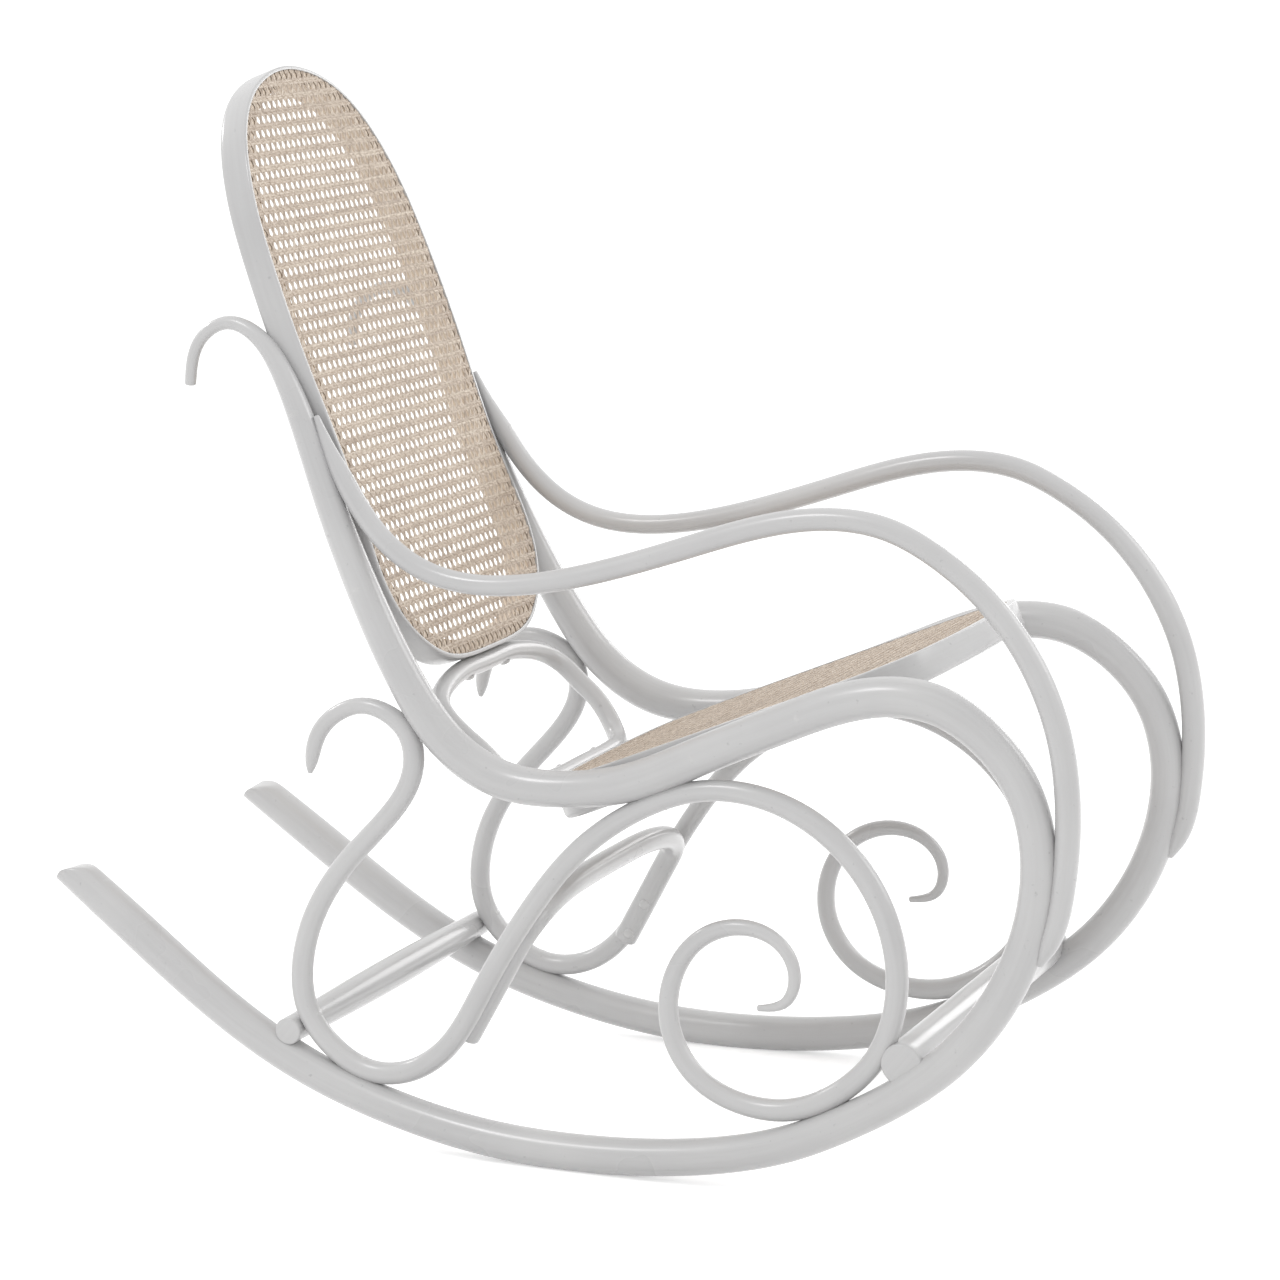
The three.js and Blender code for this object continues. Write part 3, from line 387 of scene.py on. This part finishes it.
def tube(centres, radii, square, sides, closed, blunt=False):
    """Vertices, faces and UVs of a round rod.

    The square is a direction across the rod, and a blunt rod starts with a flat end.
    """
    centres = np.asarray(centres, float)
    radii = np.asarray(radii, float)
    if closed:
        forward = np.roll(centres, -1, 0) - np.roll(centres, 1, 0)
    else:
        forward = np.gradient(centres, axis=0)
    forward /= np.linalg.norm(forward, axis=1)[:, None]
    if not closed:
        leading = [] if blunt else CAP[::-1]
        lead = [centres[0] - forward[0] * radii[0] * reach for reach, _ in leading]
        tail = [centres[-1] + forward[-1] * radii[-1] * reach for reach, _ in CAP]
        first = [radii[0] * part for _, part in leading]
        final = [radii[-1] * part for _, part in CAP]
        centres = np.vstack([*lead, centres, tail])
        forward = np.vstack([*([forward[0]] * len(lead)), forward, [forward[-1]] * len(CAP)])
        radii = np.r_[first, radii, final]
    square = np.asarray(square, float)
    across = square - forward * (forward @ square)[:, None]
    across /= np.linalg.norm(across, axis=1)[:, None]
    over = np.cross(forward, across)
    turn = 2 * math.pi * np.arange(sides) / sides
    up_share, side_share = np.cos(turn)[None, :, None], np.sin(turn)[None, :, None]
    ring = over[:, None] * up_share + across[:, None] * side_share
    verts = (centres[:, None] + ring * radii[:, None, None]).reshape(-1, 3)
    rows = len(centres)
    quads, cells = grid_faces(rows, sides, closed)
    run = lengths(centres, closed)
    girth = 2 * math.pi * radii.mean()
    uvs = np.stack([run[cells[..., 0]], cells[..., 1] / sides * girth], axis=-1)
    faces = [list(map(int, quad)) for quad in quads]
    uvs = [tuple(uv) for quad in uvs for uv in quad]
    if not closed:
        for row in (0, rows - 1):
            hub = row * sides
            around = [list(range(sides))]
            if blunt and row == 0:
                # Strips from side to side, so that the start can be shaped.
                around = [[j, j + 1, sides - j - 1, sides - j] for j in range(1, sides // 2 - 1)]
                around += [[0, 1, sides - 1], [sides // 2 - 1, sides // 2, sides // 2 + 1]]
            for face in around:
                faces.append([hub + j for j in (face[::-1] if row == 0 else face)])
                uvs += [(run[row], j / sides * girth) for j in face]
    if facing(verts, quads, centres[quads[:, 0] // sides]) < 0:
        faces, uvs = turned_over(faces, uvs)
    return verts, faces, uvs


# --- Materials ------------------------------------------------------------------------------

def new_material(name):
    """A material with its node tree and its surface shader."""
    made = bpy.data.materials.new(name)
    made.use_nodes = True
    return made, made.node_tree, made.node_tree.nodes["Principled BSDF"]


def scaled_uv(tree, scale):
    """Lengths along a piece and round it, scaled for a noise that runs along the piece."""
    uv = tree.nodes.new("ShaderNodeUVMap")
    uv.uv_map = "along"
    mapping = tree.nodes.new("ShaderNodeMapping")
    mapping.inputs["Scale"].default_value = (*scale, 1)
    tree.links.new(uv.outputs["UV"], mapping.inputs["Vector"])
    return mapping.outputs["Vector"]


def noise(tree, vector, scale, detail, roughness=0.5):
    """A noise texture's factor."""
    made = tree.nodes.new("ShaderNodeTexNoise")
    made.inputs["Scale"].default_value = scale
    made.inputs["Detail"].default_value = detail
    made.inputs["Roughness"].default_value = roughness
    tree.links.new(vector, made.inputs["Vector"])
    return made.outputs["Fac"]


def ramp(tree, factor, *stops):
    """A colour for each factor, between stops of position and colour."""
    made = tree.nodes.new("ShaderNodeValToRGB")
    tree.links.new(factor, made.inputs["Fac"])
    elements = made.color_ramp.elements
    while len(elements) < len(stops):
        elements.new(0.5)
    for element, (position, colour) in zip(elements, stops):
        element.position = position
        element.color = (*colour, 1)
    return made.outputs["Color"]


def mix_colour(tree, factor, a, b, blend="MIX"):
    """Two colours mixed, where each is a socket or a plain colour."""
    made = tree.nodes.new("ShaderNodeMix")
    made.data_type = "RGBA"
    made.blend_type = blend
    if isinstance(factor, float):
        made.inputs["Factor"].default_value = factor
    else:
        tree.links.new(factor, made.inputs["Factor"])
    for socket, value in ((made.inputs[6], a), (made.inputs[7], b)):
        if isinstance(value, tuple):
            socket.default_value = (*value, 1)
        else:
            tree.links.new(value, socket)
    return made.outputs[2]


def object_place(tree):
    """Places in the piece's own space."""
    return tree.nodes.new("ShaderNodeTexCoord").outputs["Object"]


def grey(level):
    return (level,) * 3


def add_bump(tree, surface, height, strength, distance):
    """Lets a height show as relief."""
    bump = tree.nodes.new("ShaderNodeBump")
    bump.inputs["Strength"].default_value = strength
    bump.inputs["Distance"].default_value = distance
    tree.links.new(height, bump.inputs["Height"])
    tree.links.new(bump.outputs["Normal"], surface.inputs["Normal"])


def paint_material(name, light, dark, roughness, unevenness):
    """Glossy paint on bent wood, with brush drag along each rod and a slightly uneven coat."""
    made, tree, surface = new_material(name)
    cloudy = noise(tree, object_place(tree), 7.0, 3.0)
    streaks = noise(tree, scaled_uv(tree, (9, 250)), 1.0, 2.0, 0.6)
    lumps = noise(tree, object_place(tree), 48.0, 1.0)
    tone = ramp(tree, cloudy, (0.3, dark), (0.7, light))
    drag = ramp(tree, streaks, (0.3, (0.965, 0.962, 0.962)), (0.62, WHITE))
    tone = mix_colour(tree, 1.0, tone, drag, "MULTIPLY")
    specks = noise(tree, object_place(tree), 160.0, 2.0)
    worn = ramp(tree, specks, (0.7, BLACK), (0.78, WHITE))
    tone = mix_colour(tree, worn, tone, tuple(0.86 * c for c in dark))
    tree.links.new(tone, surface.inputs["Base Color"])
    gloss = ramp(tree, cloudy, (0.3, grey(roughness - 0.05)), (0.75, grey(roughness + 0.08)))
    tree.links.new(gloss, surface.inputs["Roughness"])
    surface.inputs["Coat Weight"].default_value = 0.6
    surface.inputs["Coat Roughness"].default_value = 0.2
    add_bump(tree, surface, lumps, unevenness, 0.0006)
    return made


def cane_material():
    """Split cane: each strand has its own tone, fine fibres along it and a slight sheen."""
    made, tree, surface = new_material("woven_cane")
    strand = noise(tree, scaled_uv(tree, (1.6, 190)), 1.0, 1.0)
    fibre = noise(tree, scaled_uv(tree, (60, 5200)), 1.0, 2.0)
    blotch = noise(tree, scaled_uv(tree, (150, 1500)), 1.0, 1.0)
    tone = ramp(
        tree, strand,
        (0.3, (0.49, 0.395, 0.315)), (0.5, (0.66, 0.56, 0.465)), (0.72, (0.82, 0.73, 0.625)),
    )
    spots = ramp(tree, blotch, (0.36, (0.62, 0.57, 0.52)), (0.56, WHITE))
    tone = mix_colour(tree, 1.0, tone, spots, "MULTIPLY")
    lines = ramp(tree, fibre, (0.3, (0.82, 0.8, 0.77)), (0.65, WHITE))
    tone = mix_colour(tree, 1.0, tone, lines, "MULTIPLY")
    tree.links.new(tone, surface.inputs["Base Color"])
    gloss = ramp(tree, strand, (0.3, grey(0.42)), (0.7, grey(0.58)))
    tree.links.new(gloss, surface.inputs["Roughness"])
    add_bump(tree, surface, fibre, 0.35, 0.0002)
    return made


def bare_wood_material():
    """Pale bent wood with long grain, where no paint reached."""
    made, tree, surface = new_material("bare_wood")
    grain = noise(tree, scaled_uv(tree, (7, 260)), 1.0, 5.0, 0.6)
    cloudy = noise(tree, object_place(tree), 22.0, 2.0)
    tone = ramp(tree, grain, (0.3, (0.72, 0.59, 0.465)), (0.7, (0.86, 0.75, 0.62)))
    shade = ramp(tree, cloudy, (0.3, (0.88, 0.87, 0.86)), (0.7, WHITE))
    tone = mix_colour(tree, 1.0, tone, shade, "MULTIPLY")
    tree.links.new(tone, surface.inputs["Base Color"])
    surface.inputs["Roughness"].default_value = 0.6
    add_bump(tree, surface, grain, 0.3, 0.0003)
    return made


ROD_PAINT = paint_material("paint_rods", (0.565, 0.562, 0.56), (0.512, 0.509, 0.51), 0.3, 0.35)
# The hoops take the rods' white paint set a little darker: painted shade standing in for the shade
# that falls on the rims.
SHADED_RIM_PAINT = paint_material("paint_hoops_shaded", (0.535, 0.532, 0.53), (0.484, 0.481, 0.482), 0.32, 0.25)
SCREW_PAINT = paint_material("paint_screws", (0.6, 0.597, 0.593), (0.52, 0.517, 0.514), 0.2, 0.1)
BARE_WOOD = bare_wood_material()
CANE = cane_material()


# --- Rods -----------------------------------------------------------------------------------

def side_rod(rows):
    """A rod bent in the side's plane."""
    dense = evenly(fair_curve(rows, len(rows) * ROD_SAMPLES), STATION)
    centres = on_side(dense[:, 0], dense[:, 1]) + SHIFT
    return tube(centres, dense[:, 2], SIDE_NORMAL, ROD_SIDES, False)


def bow_rod():
    """The bow, whose rear end is pared down to a rounded chisel edge."""
    dense = evenly(fair_curve(BOW, len(BOW) * ROD_SAMPLES), STATION / TIP_FINER)
    dense = dense[np.argmax(dense[:, 0] > TIP_START):]
    clear = TIP_CLEAR[-1][0]
    coarse = np.argmax(dense[:, 0] > clear)
    dense = np.vstack([dense[:coarse], dense[coarse::TIP_FINER]])
    centres = on_side(dense[:, 0], dense[:, 1]) + SHIFT
    verts, faces, uvs = tube(centres, dense[:, 2], SIDE_NORMAL, BOW_SIDES, False, True)
    origin = on_side(zero, zero) + SHIFT
    forward, aside, up = ((verts - origin) @ SIDE_TURN).T
    dome = np.vstack([fair_curve(TIP_DOME, TIP_SAMPLES), TIP_CLEAR])
    over = np.interp(forward, dome[:, 0], dome[:, 1])
    # A soft minimum of the rod and the dome; the cap keeps the power within range.
    pared = up - TIP_SOFT * np.log1p(np.exp(np.minimum((up - over) / TIP_SOFT, 60)))
    at_tip = (forward < clear) & (np.arange(len(verts)) < coarse * BOW_SIDES)
    up = np.where(at_tip, pared, up)
    return np.stack([forward, aside, up], axis=1) @ SIDE_TURN.T + origin, faces, uvs


for stem, rows in (("bow", BOW), ("arm", ARM), ("scroll", SCROLL)):
    node = "main_bow" if stem == "bow" else stem
    right = bow_rod() if stem == "bow" else side_rod(rows)
    for hand, (verts, faces, uvs) in (("right", right), ("left", mirrored(*right))):
        # The runner is worn flat where it stands on the floor.
        verts = verts.copy()
        verts[:, 2] = np.maximum(verts[:, 2], 0)
        name = stem + "_bent_" + hand
        add_piece(name, verts, faces, uvs, ROD_PAINT, "frame_paint", node + "_" + hand)


# --- Ring and brace ---------------------------------------------------------------------------

def mirrored_path(half, closed):
    """Even stations of a smooth path through a half and its mirror image."""
    flip = [(x, -y, z) for x, y, z in half]
    skip = 1 if closed else 0
    whole = list(half) + flip[skip:-1][::-1]
    dense = fair_curve(whole, len(whole) * LOOP_SAMPLES, closed)
    run = np.r_[0, np.cumsum(np.linalg.norm(np.diff(dense, axis=0), axis=1))]
    at = np.linspace(0, run[-1], int(run[-1] / STATION) + 1)
    if closed:
        at = at[:-1]
    return np.stack([np.interp(at, run, dense[:, k]) for k in range(3)], axis=1)


beyond = RING_RADIUS + RING_CLEAR
ring_top = on_back(zero, np.array(BACK_FOOT - beyond), np.array(BACK_RIM_DEPTH / 2))
ring_foot = on_seat(zero, np.array(SEAT_REAR - beyond), np.array(RING_FOOT_DEPTH))
ring_run = ring_foot - ring_top
ring_half = [
    (ring_top[0] + run * ring_run[0], across * HALF_SPREAD, ring_top[2] + drop * ring_run[2])
    for across, drop, run in RING
]
ring_path = mirrored_path(ring_half, True) + SHIFT
ring_square = (-ring_run[2], 0, ring_run[0])
ring_tube = tube(ring_path, np.full(len(ring_path), RING_RADIUS), ring_square, ROD_SIDES, True)
add_piece("ring_bent", *ring_tube, ROD_PAINT, "frame_paint", "link_ring")

brace_half = [(x, -across * (half_at(x, z) - BRACE_BESIDE), z) for x, z, across in BRACE]
brace_path = mirrored_path(brace_half, False) + SHIFT
brace_run = np.array(brace_half[-1]) - np.array(brace_half[0])
brace_square = (-brace_run[2], 0, brace_run[0])
brace_radii = np.full(len(brace_path), BRACE_RADIUS)
brace_tube = tube(brace_path, brace_radii, brace_square, ROD_SIDES, False)
add_piece("brace_bent", *brace_tube, ROD_PAINT, "frame_paint", "under_brace")


# --- Turned bars and screws -------------------------------------------------------------------

def lathe(profile, origin, axis, sides):
    """A closed turned body; the profile lists radius and place along the axis."""
    axis = Vector(axis).normalized()
    across = axis.orthogonal().normalized()
    over = axis.cross(across)
    turn = 2 * math.pi * np.arange(sides) / sides
    ring = np.outer(np.cos(turn), across) + np.outer(np.sin(turn), over)
    profile = np.array(profile, float)
    centres = np.array(origin) + np.outer(profile[:, 1], axis)
    verts = (centres[:, None] + ring[None] * profile[:, 0][:, None, None]).reshape(-1, 3)
    quads, cells = grid_faces(len(profile), sides, False)
    run = lengths(profile, False)
    girth = 2 * math.pi * profile[:, 0].max()
    uvs = np.stack([run[cells[..., 0]], cells[..., 1] / sides * girth], axis=-1)
    faces = [list(map(int, quad)) for quad in quads]
    uvs = [tuple(uv) for quad in uvs for uv in quad]
    for row in (0, len(profile) - 1):
        face = [row * sides + j for j in range(sides)]
        faces.append(face[::-1] if row == 0 else face)
        uvs += [tuple(profile[row, 0] * np.array((math.cos(a), math.sin(a)))) for a in turn]
    return verts, faces, uvs


def turned_bar(name, node, place, proud, profile):
    """A bar across the chair; the profile goes from its middle to its end."""
    middle = on_side(np.array(place[0]), np.array(place[1]))
    half = half_at(middle[0], middle[2]) + proud
    end = profile[-1][1]
    body = fair_curve([(half * share, radius) for share, radius in profile], BAR_SAMPLES)[:-1]
    arc = [
        (half - BAR_EASE + BAR_EASE * math.sin(a), end - BAR_EASE + BAR_EASE * math.cos(a))
        for a in np.linspace(0, math.pi / 2, EASE_STEPS + 1)
    ]
    quarter = [(at, radius) for at, radius in body if at < half - BAR_EASE] + arc
    whole = [(-at, radius) for at, radius in quarter[:0:-1]] + quarter
    origin = np.array([middle[0], 0, middle[2]]) + SHIFT
    made = lathe([(radius, at) for at, radius in whole], origin, (0, 1, 0), LATHE_SIDES)
    add_piece(name, *made, ROD_PAINT, "frame_paint", node)


front_profile = [(share, FRONT_RADIUS) for share in (0, 0.5, 1)]
rear_profile = [
    (share, REAR_END + (REAR_BELLY - REAR_END) * part) for share, part in REAR_BELLY_SHARES
]
turned_bar("stretcher_front_turned", "front_stretcher", FRONT_BAR, FRONT_PROUD, front_profile)
turned_bar("stretcher_rear_turned", "rear_stretcher", REAR_BAR, REAR_PROUD, rear_profile)

# Each screw's place and way are read from its CAD solid; its head is at the wider end.
for name, node in nodes.items():
    if "screw" not in name:
        continue
    points = np.array([tuple(v.co) for v in node.data.vertices])
    centre = points.mean(0)
    axis = np.linalg.svd(points - centre)[2][0]
    along = (points - centre) @ axis
    apart = np.linalg.norm(points - centre - np.outer(along, axis), axis=1)
    if along[apart.argmax()] < 0:
        axis, along = -axis, -along
    top, foot = along.max(), along.min()
    seat = top - SCREW_DOME
    rise = PROUD_DOME if name.startswith(("ring", "brace")) else SCREW_DOME
    dome = [
        (
            SCREW_HEAD * math.cos(a),
            seat + rise * (DOME_EDGE_SHARE + (1 - DOME_EDGE_SHARE) * math.sin(a)),
        )
        for a in np.linspace(0, DOME_TURN, DOME_STEPS)
    ]
    shank = [
        (SCREW_SHANK * SCREW_TIP_SHARE, foot), (SCREW_SHANK, foot + SCREW_POINT),
        (SCREW_SHANK, seat), (SCREW_HEAD, seat),
    ]
    made = lathe(shank + dome, centre, axis, ROD_SIDES)
    add_piece(name.replace("screw", "head", 1), *made, SCREW_PAINT, "screw_paint", name)


# --- Hoops and cane ---------------------------------------------------------------------------

def hoop_outline(rows, length, foot, place):
    """Stations of a hoop's outline, with their outward normals in its own plane."""
    half = []
    for across, along in rows:
        up = foot + along * length
        spot = place(zero, np.array(up), zero)
        half.append((across * half_at(spot[0], spot[2]), up))
    other = [(-u, v) for u, v in half[1:-1][::-1]]
    line = evenly(fair_curve(half + other, len(rows) * HOOP_SAMPLES, True), STATION, True)
    ahead = np.roll(line, -1, 0) - np.roll(line, 1, 0)
    ahead /= np.linalg.norm(ahead, axis=1)[:, None]
    return line, np.stack([ahead[:, 1], -ahead[:, 0]], axis=1)


def rounded(corners):
    """A closed section with each corner (x, y, radius) turned by a small arc."""
    out = []
    n = len(corners)
    for k, (x, y, radius) in enumerate(corners):
        here = np.array((x, y))
        before = np.array(corners[k - 1][:2]) - here
        after = np.array(corners[(k + 1) % n][:2]) - here
        before /= np.linalg.norm(before)
        after /= np.linalg.norm(after)
        if radius == 0:
            out.append(here)
            continue
        for i in range(EASE_STEPS + 1):
            a = i / EASE_STEPS
            start, end = here + before * radius, here + after * radius
            out.append((1 - a) ** 2 * start + 2 * a * (1 - a) * here + a * a * end)
    return np.array(out)


def hoop(name, node, outline, lip, depths, place, bare):
    """A rim; its section has a lip round the cane and a depth of its own at each station."""
    line, normal = outline
    sections = np.array([rounded([
        (0, 0, FACE_EASE), (lip, 0, LIP_EASE), (lip, REBATE, 0), (RIM_WIDTH, REBATE, WALL_EASE),
        (RIM_WIDTH, depth, REAR_INNER_EASE), (0, depth, REAR_OUTER_EASE),
    ]) for depth in depths])
    section = sections[0]
    inset = line[:, None] - normal[:, None] * sections[..., 0, None]
    verts = place(inset[..., 0], inset[..., 1], sections[..., 1])
    verts = verts.reshape(-1, 3) + SHIFT
    quads, cells = grid_faces(len(line), len(section), True)
    run = lengths(line, True)
    round_it = lengths(section, True)
    uvs = np.stack([run[cells[..., 0]], round_it[cells[..., 1]]], axis=-1).reshape(-1, 4, 2)
    middle = verts.reshape(len(line), len(section), 3).mean(1)
    if facing(verts, quads, middle[quads[:, 0] // len(section)]) < 0:
        quads, uvs = quads[:, ::-1], uvs[:, ::-1]
    faces, uvs = quads.tolist(), uvs.reshape(-1, 2)
    # The rim takes the darker copy of the white paint, which is painted shade.
    piece = add_piece(name, verts, faces, uvs, SHADED_RIM_PAINT, "frame_paint", node)
    if bare:
        # The rebate's bottom and the inner wall, which the brush didn't reach.
        piece.data.materials.append(BARE_WOOD)
        bottom = (section[:, 0] > lip - HAIR) & (np.abs(section[:, 1] - REBATE) < HAIR)
        inner = bottom | ((section[:, 0] > RIM_WIDTH - BARE_REACH) & (section[:, 1] > REBATE))
        flags = inner[cells[:, 0, 1] % len(section)] & inner[(cells[:, 0, 1] + 1) % len(section)]
        piece.data.polygons.foreach_set("material_index", flags.astype(np.int32))


def clipped(border, start, way):
    """The stretches of a line that lie inside a closed border."""
    offset = border - start
    side = way[0] * offset[:, 1] - way[1] * offset[:, 0]
    after = np.roll(side, -1)
    cross = np.where((side > 0) != (after > 0))[0]
    along = offset @ way
    next_along = np.roll(along, -1)
    share = side[cross] / (side[cross] - after[cross])
    cuts = np.sort(along[cross] + share * (next_along[cross] - along[cross]))
    return [(cuts[i], cuts[i + 1]) for i in range(0, len(cuts) - 1, 2)]


def strand_lines(border):
    """Each strand's line: a place on it, its way, its crossings' spacing, and its levels there."""
    low, high = border.min(0), border.max(0)
    middle_v = (low[1] + high[1]) / 2
    reach = int(max(high[0] - low[0], high[1] - low[1]) / CELL_ACROSS) + 2
    lines = []
    for k in range(-reach, reach + 1):
        for sign in (-1, 1):
            upright = (k * CELL_ACROSS + sign * PAIR_OFFSET, middle_v)
            level = (0, middle_v + k * CELL_ALONG + sign * PAIR_OFFSET)
            lines.append((upright, (0, 1), CELL_ALONG / 2, 0, 1))
            lines.append((level, (1, 0), CELL_ACROSS / 2, 2, 1))
    diagonal = math.hypot(CELL_ACROSS, CELL_ALONG)
    for k in range(-2 * reach, 2 * reach + 1):
        for sign, here, there in ((1, 2, 0), (-1, 0, 2)):
            way = (CELL_ACROSS / diagonal, sign * CELL_ALONG / diagonal)
            lines.append(((0, middle_v + (k + 0.5) * CELL_ALONG), way, diagonal / 2, here, there))
    return lines


def weave(name, node, outline, lip, place):
    """Six-way cane: pairs across and along, and single strands on both diagonals."""
    line, normal = outline
    border = line - normal * (lip + CANE_GAP)
    verts, faces, uvs = [], [], []
    count = 0
    corners = len(STRAND_SECTION)
    for number, (start, way, spacing, here, there) in enumerate(strand_lines(border)):
        start, way = np.array(start, float), np.array(way, float)
        aside = np.array([-way[1], way[0]])
        for first, last in clipped(border, start, way):
            if last - first < SHORTEST_STRAND:
                continue
            inner = np.arange(math.ceil(first / spacing), math.floor(last / spacing) + 1) * spacing
            inner = inner[(inner > first + CROSSING_CLEAR) & (inner < last - CROSSING_CLEAR)]
            at = np.r_[first, inner, last]
            level = here + (there - here) * (0.5 - 0.5 * np.cos(math.pi * at / spacing))
            middles = start + at[:, None] * way
            for share, rise in STRAND_SECTION:
                spot = middles + aside * share * STRAND_WIDE
                height = level * WEAVE_STEP + rise * STRAND_THICK
                verts.append(np.stack([spot[:, 0], spot[:, 1], height], axis=1))
            m = len(at)
            tone = number * TONE_STEP
            for i in range(m - 1):
                for j in range(corners):
                    k = (j + 1) % corners
                    a, b = count + j * m + i, count + k * m + i
                    faces.append([a, b, b + 1, a + 1])
                    uj, uk = tone + j * EDGE_STEP, tone + (j + 1) * EDGE_STEP
                    uvs += [(at[i], uj), (at[i], uk), (at[i + 1], uk), (at[i + 1], uj)]
            faces.append([count + j * m for j in reversed(range(corners))])
            faces.append([count + j * m + m - 1 for j in range(corners)])
            uvs += [(at[0], tone)] * corners + [(at[-1], tone)] * corners
            count += corners * m
    flat = np.concatenate(verts)
    verts = place(flat[:, 0], flat[:, 1], WEAVE_FLOOR - flat[:, 2]) + SHIFT
    made = add_piece(name, verts, faces, uvs, CANE, "cane", node)
    bm = bmesh.new()
    bm.from_mesh(made.data)
    bmesh.ops.recalc_face_normals(bm, faces=bm.faces)
    bm.to_mesh(made.data)
    bm.free()


back_outline = hoop_outline(BACK, BACK_LENGTH, BACK_FOOT, on_back)
seat_outline = hoop_outline(SEAT, SEAT_LENGTH, SEAT_REAR, on_seat)
back_depths = np.full(len(back_outline[0]), BACK_RIM_DEPTH)
seat_along = (seat_outline[0][:, 1] - SEAT_REAR) / SEAT_LENGTH
seat_depths = SEAT_RIM_DEPTH * (1 + (SEAT_FRONT_SHARE - 1) * seat_along)
hoop("hoop_back_rim", "back_hoop", back_outline, BACK_LIP, back_depths, on_back, True)
hoop("hoop_seat_rim", "seat_hoop", seat_outline, SEAT_LIP, seat_depths, on_seat, False)
weave("cane_back_weave", "back_cane", back_outline, BACK_LIP, on_back)
weave("cane_seat_weave", "seat_cane", seat_outline, SEAT_LIP, on_seat)


# --- Studio -----------------------------------------------------------------------------------

camera_data = bpy.data.cameras.new("camera")
camera_data.sensor_width = SENSOR
camera_data.lens = LENS
camera_data.clip_start = CLIP_START
camera_data.clip_end = CLIP_END
camera = bpy.data.objects.new("camera", camera_data)
camera.rotation_mode = "QUATERNION"
camera.location = CAMERA_FROM_SIDE_ORIGIN + Vector(SHIFT)
camera.rotation_quaternion = CAMERA_WAY.to_track_quat("-Z", "Y")
bpy.context.scene.collection.objects.link(camera)
bpy.context.scene.camera = camera
bpy.context.scene.view_settings.view_transform = "Standard"


for name, (at, towards, size, power) in LAMPS.items():
    data = bpy.data.lights.new(name, "AREA")
    data.shape = "SQUARE"
    data.size = size
    data.energy = power
    lamp = bpy.data.objects.new(name, data)
    lamp.location = at
    lamp.rotation_mode = "QUATERNION"
    lamp.rotation_quaternion = (Vector(towards) - Vector(at)).to_track_quat("-Z", "Y")
    lamp.visible_camera = False
    bpy.context.scene.collection.objects.link(lamp)


def add_seen(tree, background, lit, seen):
    """Sets a strength to one value for light and another where it is seen or mirrored."""
    path = tree.nodes.new("ShaderNodeLightPath")
    either = tree.nodes.new("ShaderNodeMath")
    either.operation = "MAXIMUM"
    any_of = tree.nodes.new("ShaderNodeMath")
    any_of.operation = "MAXIMUM"
    tree.links.new(path.outputs["Is Glossy Ray"], any_of.inputs[0])
    tree.links.new(path.outputs["Is Transmission Ray"], any_of.inputs[1])
    tree.links.new(path.outputs["Is Camera Ray"], either.inputs[0])
    tree.links.new(any_of.outputs[0], either.inputs[1])
    level = tree.nodes.new("ShaderNodeMix")
    level.data_type = "FLOAT"
    level.inputs["A"].default_value = lit
    level.inputs["B"].default_value = seen
    tree.links.new(either.outputs[0], level.inputs["Factor"])
    tree.links.new(level.outputs["Result"], background.inputs["Strength"])


world = bpy.data.worlds.new("studio")
bpy.context.scene.world = world
world.use_nodes = True
tree = world.node_tree
tree.nodes.clear()
out = tree.nodes.new("ShaderNodeOutputWorld")
back = tree.nodes.new("ShaderNodeBackground")
back.inputs["Color"].default_value = (*WHITE, 1)
add_seen(tree, back, WORLD_LIT, WORLD_SEEN)
tree.links.new(back.outputs[0], out.inputs["Surface"])

# Floor: pale, and for the camera as white as the background wherever no shadow lies.
mesh = bpy.data.meshes.new("floor")
corners = [(-1, -1), (1, -1), (1, 1), (-1, 1)]
spread = [(FLOOR_REACH * x, FLOOR_REACH * y, -FLOOR_DROP) for x, y in corners]
mesh.from_pydata(spread, [], [(0, 1, 2, 3)])
floor = bpy.data.objects.new("floor", mesh)
bpy.context.scene.collection.objects.link(floor)
floor_material, tree, surface = new_material("floor_pale")
surface.inputs["Base Color"].default_value = (*grey(FLOOR_TONE), 1)
surface.inputs["Roughness"].default_value = FLOOR_ROUGHNESS
surface.inputs["Specular IOR Level"].default_value = 0.0
glow = tree.nodes.new("ShaderNodeEmission")
add_seen(tree, glow, FLOOR_LIT, FLOOR_SEEN)
both = tree.nodes.new("ShaderNodeAddShader")
tree.links.new(surface.outputs[0], both.inputs[0])
tree.links.new(glow.outputs[0], both.inputs[1])
tree.links.new(both.outputs[0], tree.nodes["Material Output"].inputs["Surface"])
floor.data.materials.append(floor_material)
